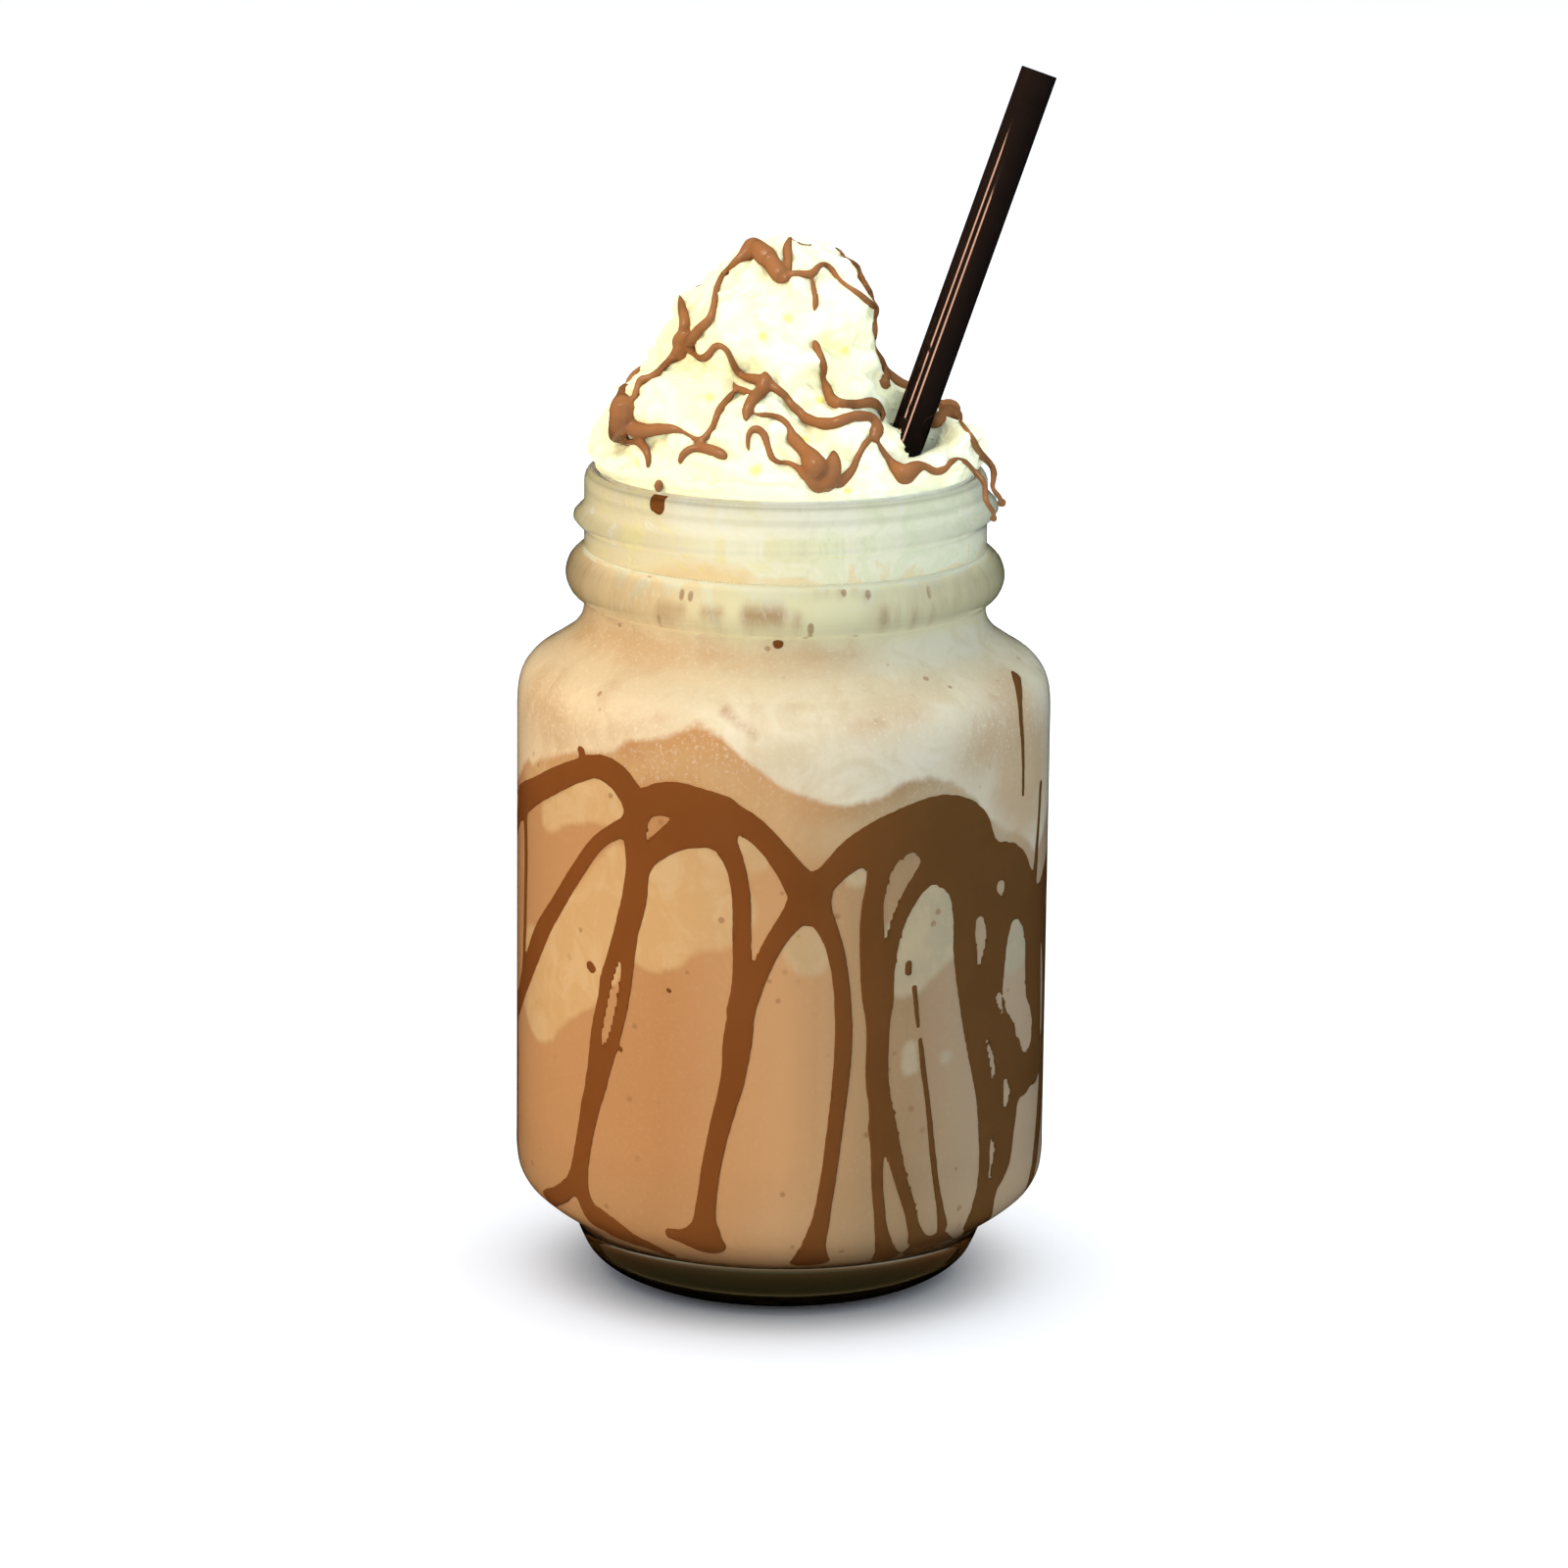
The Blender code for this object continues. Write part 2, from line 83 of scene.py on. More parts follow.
# Jar
# A pressed clear glass drinking jar: screw neck, bead, short shoulder, round body and a thick
# stepped foot. Its section is turned round the axis, and the thread is raised along a helix.
WALL_STEPS = 192
IN_FLOOR = 9.5
IN_BODY = 41.2
IN_MOUTH = 30.2
RIM = 136.0
NECK = 33.1
THREAD_RISE = 1.8
THREAD_MIDDLE = 128.2
THREAD_PITCH = 4.0
THREAD_HALF_HEIGHT = 2.5
THICK_FROM = 113.0
FULLY_THICK = 2.2
INNER_WALL = [
    (0.0, IN_FLOOR), (8.0, IN_FLOOR), (16.0, 9.6), (22.0, 9.8), (27.0, 10.2), (33.0, 11.9),
    (37.6, 15.5), (40.3, 21.0), (IN_BODY, 27.5), (IN_BODY, 31.0), (IN_BODY, 60.0),
    (IN_BODY, 94.0), (IN_BODY, 97.0), (40.5, 100.5), (38.6, 102.8), (35.2, 104.9),
    (32.2, 107.4), (30.6, 110.8), (IN_MOUTH, 114.5), (IN_MOUTH, 118.0), (IN_MOUTH, 131.0),
    (IN_MOUTH, 134.4),
]
OUTER_WALL = [
    (30.7, 135.6), (31.65, RIM), (32.6, 135.6), (33.05, 134.6), (NECK, 133.4), (NECK, 128.0),
    (NECK, 125.2), (NECK, 123.8), (33.3, 123.0), (34.4, 122.3), (35.5, 121.1), (36.1, 119.3),
    (36.0, 117.8), (35.3, 116.2), (34.2, 115.1), (33.2, 114.7), (33.1, 113.9), (33.15, 112.5),
    (33.7, 110.8), (35.4, 108.7), (38.7, 106.4),
    (41.3, 104.7), (43.0, 102.6), (43.8, 100.2), (44.05, 97.0), (44.05, 94.0), (44.05, 60.0),
    (44.05, 24.0), (44.05, 21.5), (43.6, 18.3), (42.3, 15.9), (39.6, 13.5), (36.6, 11.4),
    (34.7, 10.0), (34.1, 8.8), (33.1, 6.4), (31.9, 4.2), (29.8, 2.3), (26.8, 0.8), (23.6, 0.0),
    (21.0, 0.0), (17.5, 0.0), (15.0, 0.6), (8.0, 1.3), (0.0, 1.6),
]


def rounded(points, step):
    """Smooth row of (radius, height) points through the given ones, about step apart."""
    spots = [Vector(p) for p in points]
    row = []
    for i in range(len(spots) - 1):
        a, b = spots[i], spots[i + 1]
        span = (b - a).length
        before = spots[i - 1] if i else a + (a - b)
        after = spots[i + 2] if i + 2 < len(spots) else b + (b - a)
        lead_a = min(1.0, span / max((a - before).length, 1e-6))
        lead_b = min(1.0, span / max((after - b).length, 1e-6))
        slope_a = ((b - a) + (a - before) * lead_a) * 0.5
        slope_b = ((b - a) + (after - b) * lead_b) * 0.5
        count = max(1, round(span / step))
        for k in range(count):
            t = k / count
            row.append(a * (2 * t**3 - 3 * t**2 + 1) + slope_a * (t**3 - 2 * t**2 + t)
                       + b * (3 * t**2 - 2 * t**3) + slope_b * (t**3 - t**2))
    row.append(spots[-1])
    return row


def turn_on_axis(row, steps):
    """Spin a row of (radius, height) points in millimetres round Z."""
    bm = bmesh.new()
    verts = [bm.verts.new((max(p.x, 0.0) * MM, 0.0, p.y * MM)) for p in row]
    edges = [bm.edges.new(pair) for pair in zip(verts[:-1], verts[1:])]
    bmesh.ops.spin(bm, geom=verts + edges, cent=(0, 0, 0), axis=(0, 0, 1), angle=math.tau,
                   steps=steps, use_merge=True)
    bmesh.ops.remove_doubles(bm, verts=bm.verts, dist=1e-6)
    bmesh.ops.recalc_face_normals(bm, faces=bm.faces)
    return bm


def smooth_object(bm, name, material):
    """A smooth-shaded object from a bmesh, at the origin, riding on the jar's body."""
    mesh = bpy.data.meshes.new(name)
    bm.to_mesh(mesh)
    bm.free()
    for polygon in mesh.polygons:
        polygon.use_smooth = True
    mesh.materials.append(material)
    piece = bpy.data.objects.new(name, mesh)
    bpy.context.scene.collection.objects.link(piece)
    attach(piece, "root")
    return piece


class Shading:
    """A new material and short calls that add nodes to it."""

    def __init__(self, name):
        self.material = bpy.data.materials.new(name)
        self.material.use_nodes = True
        self.nodes = self.material.node_tree.nodes
        self.links = self.material.node_tree.links
        self.shader = self.nodes["Principled BSDF"]
        self.place = self.nodes.new("ShaderNodeTexCoord").outputs["Object"]

    def fixed(self, socket, value):
        self.shader.inputs[socket].default_value = value

    def feed(self, socket, source):
        self.links.new(source, self.shader.inputs[socket])

    def axes(self):
        node = self.nodes.new("ShaderNodeSeparateXYZ")
        self.links.new(self.place, node.inputs["Vector"])
        return node.outputs

    def attribute(self, name):
        node = self.nodes.new("ShaderNodeAttribute")
        node.attribute_name = name
        return node.outputs["Fac"]

    def noise(self, scale, detail=3.0, roughness=0.5, distortion=0.0):
        node = self.nodes.new("ShaderNodeTexNoise")
        for socket, value in zip(("Scale", "Detail", "Roughness", "Distortion"),
                                 (scale, detail, roughness, distortion)):
            node.inputs[socket].default_value = value
        self.links.new(self.place, node.inputs["Vector"])
        return node.outputs["Fac"]

    def spread(self, source, low, high, out_low=0.0, out_high=1.0, curve="SMOOTHSTEP"):
        """The source's range from low to high as out_low to out_high."""
        node = self.nodes.new("ShaderNodeMapRange")
        node.interpolation_type = curve
        for socket, value in zip(("From Min", "From Max", "To Min", "To Max"),
                                 (low, high, out_low, out_high)):
            node.inputs[socket].default_value = value
        self.links.new(source, node.inputs["Value"])
        return node.outputs["Result"]

    def dots(self, scale, low, high):
        """1 in small round dots, 0 between them."""
        node = self.nodes.new("ShaderNodeTexVoronoi")
        node.inputs["Scale"].default_value = scale
        self.links.new(self.place, node.inputs["Vector"])
        return self.spread(node.outputs["Distance"], low, high, 1.0, 0.0)

    def math(self, operation, a, b):
        node = self.nodes.new("ShaderNodeMath")
        node.operation = operation
        for socket, value in zip(node.inputs, (a, b)):
            if isinstance(value, (int, float)):
                socket.default_value = value
            else:
                self.links.new(value, socket)
        return node.outputs["Value"]

    def wobble(self, source, size):
        """A noise as a shift of up to half the size either way."""
        return self.math("MULTIPLY", self.math("SUBTRACT", source, 0.5), size)

    def mix(self, factor, low, high):
        node = self.nodes.new("ShaderNodeMix")
        node.data_type = "RGBA"
        self.links.new(factor, node.inputs["Factor"])
        for socket, value in ((node.inputs["A"], low), (node.inputs["B"], high)):
            if isinstance(value, tuple):
                socket.default_value = (*value, 1.0)
            else:
                self.links.new(value, socket)
        return node.outputs["Result"]

    def tinted(self, colour, mask, low, high, tone, strength=1.0):
        """The colour, turning into the tone as the mask goes from low to high."""
        return self.mix(self.spread(mask, low, high, 0.0, strength), colour, tone)

    def bump(self, height, strength, distance):
        node = self.nodes.new("ShaderNodeBump")
        node.inputs["Strength"].default_value = strength
        node.inputs["Distance"].default_value = distance
        self.links.new(height, node.inputs["Height"])
        self.feed("Normal", node.outputs["Normal"])


def store(piece, **layers):
    """Keep a value for each vertex in attributes that the material reads."""
    for name, values in layers.items():
        layer = piece.data.attributes.new(name, "FLOAT", "POINT")
        layer.data.foreach_set("value", np.asarray(values, dtype=np.float32))


def thread_rise(angle, height):
    """0 to 1: how far the thread stands out of the neck at this place."""
    start, run, fade = math.radians(40.0), math.radians(410.0), math.radians(30.0)
    rise = 0.0
    for turn in (0, 1):
        along = angle + turn * math.tau
        if start < along < start + run:
            centre = THREAD_MIDDLE + THREAD_PITCH * (along - math.pi) / math.tau
            across = min(1.0, abs(height - centre) / THREAD_HALF_HEIGHT)
            ends = min(1.0, (along - start) / fade, (start + run - along) / fade)
            rise = max(rise, (0.5 + 0.5 * math.cos(math.pi * across))
                       * (0.5 - 0.5 * math.cos(math.pi * ends)))
    return rise


# Colour of the glass by height: clear in the wall, with painted shade that makes the foot dark,
# brown at its top, and draws grey lines round the lip.
GLASS_TINT_AND_PAINTED_SHADE = [
    (0.0, (0.035, 0.028, 0.012)), (5.5, (0.035, 0.028, 0.012)), (7.3, (0.09, 0.040, 0.016)),
    (8.6, (0.26, 0.105, 0.045)), (9.8, (0.985, 0.99, 0.975)), (132.6, (0.985, 0.99, 0.975)),
    (133.1, (0.62, 0.62, 0.54)), (133.6, (0.985, 0.99, 0.975)), (134.9, (0.97, 0.97, 0.95)),
    (135.4, (0.42, 0.42, 0.36)), (RIM, (0.55, 0.55, 0.48)),
]

glass = Shading("jar_glass")
glass.fixed("Transmission Weight", 1.0)
glass.fixed("IOR", 1.5)
glass.fixed("Specular IOR Level", 0.25)
mould = glass.noise(90.0)
glass.feed("Roughness", glass.spread(mould, 0.45, 0.8, 0.0, 0.06, "LINEAR"))
glass.bump(mould, 0.12, 0.0004)
colour_and_painted_light_ramp = glass.nodes.new("ShaderNodeValToRGB")
glass.links.new(glass.spread(glass.axes()["Z"], 0.0, RIM * MM, curve="LINEAR"), colour_and_painted_light_ramp.inputs["Fac"])
for z, tone in GLASS_TINT_AND_PAINTED_SHADE:
    at = z / RIM
    stop = colour_and_painted_light_ramp.color_ramp.elements[0] if at == 0.0 else colour_and_painted_light_ramp.color_ramp.elements.new(at)
    stop.color = (*tone, 1.0)
colour_and_painted_light_ramp.color_ramp.elements.remove(colour_and_painted_light_ramp.color_ramp.elements[-1])
# Painted shade: the thread and bead go dark grey where they turn edge-on.
grazing = glass.nodes.new("ShaderNodeLayerWeight")
grazing.inputs["Blend"].default_value = 0.5
edge_on = glass.spread(grazing.outputs["Facing"], 0.0, 1.0, 0.0, 1.15, "LINEAR")
painted_edge_shade = glass.math("MULTIPLY", glass.attribute("thick"), edge_on)
painted_edge_shade.node.use_clamp = True
glass_tint_and_painted_shade = glass.mix(painted_edge_shade, colour_and_painted_light_ramp.outputs["Color"], (0.24, 0.235, 0.19))
glass.feed("Base Color", glass_tint_and_painted_shade)
clear = glass.nodes.new("ShaderNodeBsdfTransparent")
path = glass.nodes.new("ShaderNodeLightPath")
blend = glass.nodes.new("ShaderNodeMixShader")
tint = glass.nodes.new("ShaderNodeVolumeAbsorption")
tint.inputs["Color"].default_value = (0.5, 0.55, 0.25, 1.0)
tint.inputs["Density"].default_value = 14.0
out = glass.nodes["Material Output"]
for source, socket in ((glass_tint_and_painted_shade, clear.inputs["Color"]),
                       (path.outputs["Is Shadow Ray"], blend.inputs["Fac"]),
                       (glass.shader.outputs["BSDF"], blend.inputs[1]),
                       (clear.outputs["BSDF"], blend.inputs[2]),
                       (blend.outputs["Shader"], out.inputs["Surface"]),
                       (tint.outputs["Volume"], out.inputs["Volume"])):
    glass.links.new(source, socket)

jar_mesh = turn_on_axis(rounded(INNER_WALL + OUTER_WALL, 0.7), WALL_STEPS)
# How far the thread and bead stand out, which the glass's painted edge shade reads.
thickness = []
for vert in jar_mesh.verts:
    x, y, z = vert.co / MM
    radius = math.hypot(x, y)
    grown = radius
    if 124.8 < z < 133.6 and radius > IN_MOUTH + 1.5:
        grown = radius + THREAD_RISE * thread_rise(math.atan2(y, x) % math.tau, z)
        vert.co.x *= grown / radius
        vert.co.y *= grown / radius
    vert.co.z = max(vert.co.z, 0.0)
    thickness.append(min(1.0, max(0.0, (grown - NECK) / FULLY_THICK) ** 2)
                     if z > THICK_FROM else 0.0)
jar_tree = BVHTree.FromBMesh(jar_mesh)
jar = smooth_object(jar_mesh, "glass_jar", glass.material)
store(jar, thick=thickness)
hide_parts("jar")

# Milkshake
# The drink fills the jar up to the cream and wets the glass, so its skin lies just inside the
# wall. Pale froth stands over a wavy edge, and paler patches show between the sauce streaks.
WETTED = 0.12
DRINK_TOP = 122.6
DRINK_TURNS = 288
GLASS_BEND = 1 / 1.5
# Width of one pixel of the picture at the glass, about.
WALL_PIXEL = 0.162 * MM
drink_row = [p for p in rounded(INNER_WALL, 0.9) if p.y < DRINK_TOP - 0.6]
drink_rows = []
for i, p in enumerate(drink_row):
    ahead = drink_row[min(i + 1, len(drink_row) - 1)] - drink_row[max(i - 1, 0)]
    outward = Vector((ahead.y, -ahead.x)).normalized()
    drink_rows.append(p + outward * WETTED if p.x > 0 else p + Vector((0.0, -WETTED)))
top_rows = [Vector((IN_MOUTH + WETTED, DRINK_TOP)), Vector((24.0, DRINK_TOP + 0.2)),
            Vector((16.0, DRINK_TOP + 0.1)), Vector((8.0, DRINK_TOP)), Vector((0.0, DRINK_TOP))]
drink_mesh = turn_on_axis(drink_rows + top_rows, DRINK_TURNS)
lining_rows = drink_rows + [Vector((p.x + WETTED, p.y)) for p in rounded(INNER_WALL, 0.9)
                            if p.y > drink_row[-1].y + 0.3]
lining_mesh = turn_on_axis(lining_rows, DRINK_TURNS)
lining_tree = BVHTree.FromBMesh(lining_mesh)
lining_mesh.free()


def seen_through(u, v):
    """Place inside the wall that a point of the picture shows through the glass."""
    line = line_of_sight(u, v)
    spot, normal, _, _ = jar_tree.ray_cast(EYE, line)
    if spot is None:
        return None
    facing = -normal.dot(line)
    inside = line * GLASS_BEND + normal * (
        GLASS_BEND * facing - math.sqrt(1 - GLASS_BEND**2 * (1 - facing**2)))
    landed, _, _, _ = lining_tree.ray_cast(spot + inside * 1e-5, inside)
    return landed


def even_steps(points, step):
    """Evenly spaced points, with any widths they carry, along a smooth line through them."""
    row = np.array(points, dtype=float)
    if len(row) == 1:
        return row
    dense = []
    for i in range(len(row) - 1):
        a, b = row[i], row[i + 1]
        before = row[i - 1] if i else a
        after = row[i + 2] if i + 2 < len(row) else b
        for t in np.linspace(0, 1, 12, endpoint=False):
            dense.append(0.5 * (2 * a + (b - before) * t + (2 * before - 5 * a + 4 * b - after) * t**2
                                + (3 * a - before - 3 * b + after) * t**3))
    dense.append(row[-1])
    dense = np.array(dense)
    walked = np.concatenate([[0], np.cumsum(np.linalg.norm(np.diff(dense[:, :2], axis=0), axis=1))])
    count = max(2, int(round(walked[-1] / step)) + 1)
    return np.array([[np.interp(s, walked, dense[:, k]) for k in range(dense.shape[1])]
                     for s in np.linspace(0, walked[-1], count)])


def on_the_wall(stroke):
    """3-D line and half widths, in metres, of a (across, down, width) stroke of the picture."""
    steps = even_steps(stroke, 9.0)
    line, halves = [], []
    for i, (u, v, width) in enumerate(steps):
        ahead = steps[min(i + 1, len(steps) - 1)][:2] - steps[max(i - 1, 0)][:2]
        size = np.linalg.norm(ahead)
        side = np.array([ahead[1], -ahead[0]]) / size if size else np.array([1.0, 0.0])
        middle = seen_through(u, v)
        if middle is None:
            continue
        edges = [seen_through(*(np.array([u, v]) + side * s * width / 2)) for s in (-1, 1)]
        known = [(e - middle).length for e in edges if e is not None]
        flat_half = width * 0.5 * WALL_PIXEL
        line.append(middle)
        halves.append(min(min(known) if known else flat_half, flat_half * 2.2))
    return np.array(line), np.array(halves)


def depth_in(places, strokes, blend_over):
    """How deep each place lies inside the strokes, in metres (negative outside), and the way to
    the nearest one's middle. Strokes flow together over the given distance where they meet."""
    depth = np.full(len(places), -1.0)
    way = np.zeros((len(places), 3))
    for line, halves in strokes:
        if len(line) == 0:
            continue
        low = line.min(axis=0) - halves.max() - 3 * MM
        high = line.max(axis=0) + halves.max() + 3 * MM
        near = np.where(np.all((places > low) & (places < high), axis=1))[0]
        if len(near) == 0:
            continue
        here = places[near]
        best = np.full(len(near), -1.0)
        to = np.zeros((len(near), 3))
        starts = line[:-1] if len(line) > 1 else line
        ends = line[1:] if len(line) > 1 else line
        for k, (a, b) in enumerate(zip(starts, ends)):
            run = b - a
            t = np.clip((here - a) @ run / max(run @ run, 1e-12), 0, 1)
            gap = a + t[:, None] * run - here
            dist = np.linalg.norm(gap, axis=1)
            half = halves[k] + t * (halves[min(k + 1, len(halves) - 1)] - halves[k])
            closer = half - dist > best
            best = np.where(closer, half - dist, best)
            to[closer] = gap[closer] / np.maximum(dist[closer], 1e-9)[:, None]
        old = depth[near]
        mix = np.clip(0.5 + 0.5 * (best - old) / blend_over, 0, 1)
        depth[near] = old + (best - old) * mix + blend_over * mix * (1 - mix)
        leads = best > old
        way[near[leads]] = to[leads]
    return depth, way


def half_turn(strokes, degrees):
    """The same strokes carried round the jar."""
    turn = np.array(Matrix.Rotation(math.radians(degrees), 3, "Z"))
    return [(line @ turn.T, halves) for line, halves in strokes if len(line)]


# Lower edge of the froth, left to right, and patches paler or tanner than what is round them:
# (across, down, width) in the picture.
FROTH_EDGE = [(528, 778), (570, 772), (618, 765), (665, 756), (710, 744), (735, 752), (760, 777),
              (798, 804), (837, 821), (864, 827), (895, 819), (925, 800), (945, 794), (971, 798),
              (995, 815), (1010, 838), (1045, 858), (1062, 872)]
PALE_PATCHES = [
    [(560, 836, 30), (598, 816, 46), (628, 826, 36)],
    [(632, 880, 40), (606, 925, 66), (588, 975, 90), (552, 1000, 104)],
    [(690, 884, 60), (672, 930, 90), (668, 950, 76)], [(700, 900, 90), (722, 926, 84)],
    [(760, 862, 44), (772, 872, 36)],
    [(822, 962, 40), (826, 980, 42)],
    [(872, 890, 40)],
    [(956, 922, 50), (944, 955, 76), (926, 990, 60)], [(970, 935, 60), (966, 955, 36)],
    [(1036, 950, 50)], [(929, 1066, 12), (929, 1088, 14)], [(966, 1079, 12)],
]
BAND_PATCHES = [
    [(540, 790, 40), (620, 790, 44), (690, 778, 60), (740, 796, 60), (790, 836, 60),
     (840, 860, 56), (900, 836, 40), (970, 812, 40), (1020, 850, 50)],
]
TAN_PATCHES = [
    [(580, 628, 40), (606, 640, 50), (640, 654, 54), (672, 664, 50), (700, 672, 30)],
    [(700, 664, 40), (760, 672, 44), (820, 672, 36), (870, 668, 24)],
    [(872, 744, 14), (905, 734, 36), (932, 722, 34)],
    [(1000, 770, 60), (1035, 745, 70), (1046, 800, 80), (1040, 720, 50)],
    [(550, 742, 20), (620, 746, 24), (690, 738, 12)],
    [(614, 712, 16), (632, 690, 12)],
    [(588, 590, 44), (620, 606, 44), (670, 618, 30)],
    [(1010, 600, 34), (980, 612, 34), (900, 622, 20)],
    [(544, 706, 50), (566, 740, 50)],
]
DRINK_COLOUR_AND_PAINTED_LIGHT = [(0.18, (0.577, 0.291, 0.122)), (0.50, (0.72, 0.415, 0.205)),
               (0.74, (0.535, 0.335, 0.175)), (0.84, (0.49, 0.312, 0.172))]
STAINS = [[(672, 624, 20), (696, 625, 18)], [(717, 627, 20), (735, 628, 20)],
          [(762, 630, 30), (796, 631, 30)], [(813, 636, 12)], [(902, 630, 10)], [(933, 631, 5)],
          [(950, 634, 4)], [(740, 725, 14), (750, 735, 9), (770, 750, 9)],
          [(833, 604, 4)], [(843, 603, 4)], [(857, 605, 7)], [(872, 604, 4)], [(883, 606, 5)]]

places = np.array([v.co for v in drink_mesh.verts])
edge_spots = [seen_through(u, v) for u, v in FROTH_EDGE]
edge_angles = [math.atan2(p.x, -p.y) for p in edge_spots if p is not None]
edge_heights = [p.z for p in edge_spots if p is not None]
turns = np.arctan2(places[:, 0], -places[:, 1])
border = np.interp(turns, edge_angles, edge_heights)
back_wave = 0.086 + 0.004 * np.sin(2.0 * turns + 0.5) + 0.002 * np.sin(5.0 * turns)
ease = np.clip((np.abs(turns) - 1.3) / 0.35, 0, 1)
border = border * (1 - ease) + back_wave * ease


def patches_in(patches, shown_behind, degrees, blend_over):
    """How deep the drink's places lie in the patches and in copies of some on the far side."""
    front = [on_the_wall(s) for s in patches]
    return depth_in(places, front + half_turn(front[:shown_behind], degrees), blend_over)[0]


pale = patches_in(PALE_PATCHES, 4, 200, 2 * MM)
band = patches_in(BAND_PATCHES, None, 176, 2 * MM)
tan = patches_in(TAN_PATCHES, None, 190, 3 * MM)
stain = patches_in(STAINS, None, 150, 1 * MM)
froth = places[:, 2] - border
# Painted shade: the drink goes nearly black at its bottom, where little light reaches.
settled = (10.0 * MM - places[:, 2]) + 0.3 * MM * np.sin(6.0 * turns)

shake = Shading("milkshake_and_froth")
side = shake.axes()
swirl = shake.noise(60.0, 5.0, 0.6, 0.6)
cloud = shake.noise(28.0, 3.0, 0.5, 0.4)
grain = shake.noise(1500.0, 3.0, 0.7)
mottle = shake.noise(150.0, 5.0, 0.65, 0.8)
shift = shake.wobble(swirl, 0.006)
rough_edge = shake.wobble(mottle, 0.016)
# Painted light across the drink: orange at the left, brightest in the middle, greyer at the right.
colour_and_painted_light_ramp = shake.nodes.new("ShaderNodeValToRGB")
shake.links.new(shake.spread(side["X"], -0.041, 0.041), colour_and_painted_light_ramp.inputs["Fac"])
colour_and_painted_light_ramp.color_ramp.elements[0].color = (0.61, 0.325, 0.147, 1.0)
colour_and_painted_light_ramp.color_ramp.elements[1].color = (0.62, 0.45, 0.30, 1.0)
for at, tone in DRINK_COLOUR_AND_PAINTED_LIGHT:
    colour_and_painted_light_ramp.color_ramp.elements.new(at).color = (*tone, 1.0)
drink_colour_and_painted_light = shake.tinted(colour_and_painted_light_ramp.outputs["Color"], cloud, 0.3, 0.7, (0.75, 0.45, 0.22), 0.10)
# Painted shade: the pale patches turn greyer towards the right.
pale_colour_and_painted_shade = shake.tinted((0.73, 0.46, 0.22), side["X"], -0.020, 0.034, (0.60, 0.50, 0.34))
pale_colour_and_painted_shade = shake.tinted(pale_colour_and_painted_shade, mottle, 0.42, 0.66, (0.84, 0.66, 0.40), 0.35)
# Painted light: the froth is more orange at the left and palest in the middle of the neck.
neck_froth_and_painted_light = shake.tinted((1.0, 0.79, 0.49), side["X"], -0.022, -0.004, (1.0, 0.95, 0.64))
neck_froth_and_painted_light = shake.tinted(neck_froth_and_painted_light, side["X"], 0.004, 0.026, (1.0, 0.90, 0.60))
creamy = shake.math("ADD", side["Z"], rough_edge)
froth_colour_and_painted_light = shake.tinted((0.84, 0.73, 0.54), mottle, 0.34, 0.66, (0.94, 0.86, 0.70))
froth_colour_and_painted_light = shake.tinted(froth_colour_and_painted_light, side["X"], -0.002, -0.040, (0.90, 0.71, 0.48))
froth_colour_and_painted_light = shake.tinted(froth_colour_and_painted_light, side["Z"], 0.110, 0.116, neck_froth_and_painted_light)
froth_colour_and_painted_light = shake.tinted(froth_colour_and_painted_light, creamy, 0.1190, 0.1205, (1.0, 0.97, 0.74))
colour = drink_colour_and_painted_light
for layer, waver, low, high, tone, strength in (
        ("band", shift, -0.0016, 0.0040, pale_colour_and_painted_shade, 0.6),
        ("pale", shift, -0.0006, 0.0010, pale_colour_and_painted_shade, 1.0),
        ("froth", shift, -0.0006, 0.0010, froth_colour_and_painted_light, 1.0),
        ("tan", rough_edge, -0.0035, 0.0070, (0.66, 0.44, 0.25), 0.80)):
    mask = shake.math("ADD", shake.attribute(layer), waver)
    colour = shake.tinted(colour, mask, low, high, tone, strength)
colour = shake.tinted(colour, shake.attribute("stain"), -0.0008, 0.0016, (0.46, 0.22, 0.10), 0.8)
colour = shake.tinted(colour, shake.attribute("settled"), -0.0005, 0.0012, (0.06, 0.022, 0.006))
bubbles = shake.math("MULTIPLY", shake.dots(260.0, 0.10, 0.17),
                     shake.spread(shake.noise(60.0), 0.5, 0.6))
colour = shake.mix(shake.math("MULTIPLY", bubbles, 0.7), colour, (0.40, 0.20, 0.09))
speckled = shake.math("MULTIPLY", shake.spread(grain, 0.50, 0.74),
                      shake.spread(side["Z"], 0.084, 0.098, 0.05, 0.42))
colour = shake.mix(speckled, colour, (1.0, 0.95, 0.84))
shake.feed("Base Color", colour)
shake.fixed("Roughness", 0.45)
shake.fixed("Specular IOR Level", 0.1)

drink = smooth_object(drink_mesh, "milkshake_drink", shake.material)
store(drink, froth=froth, pale=pale, band=band, tan=tan, stain=stain, settled=settled)
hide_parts("milkshake")

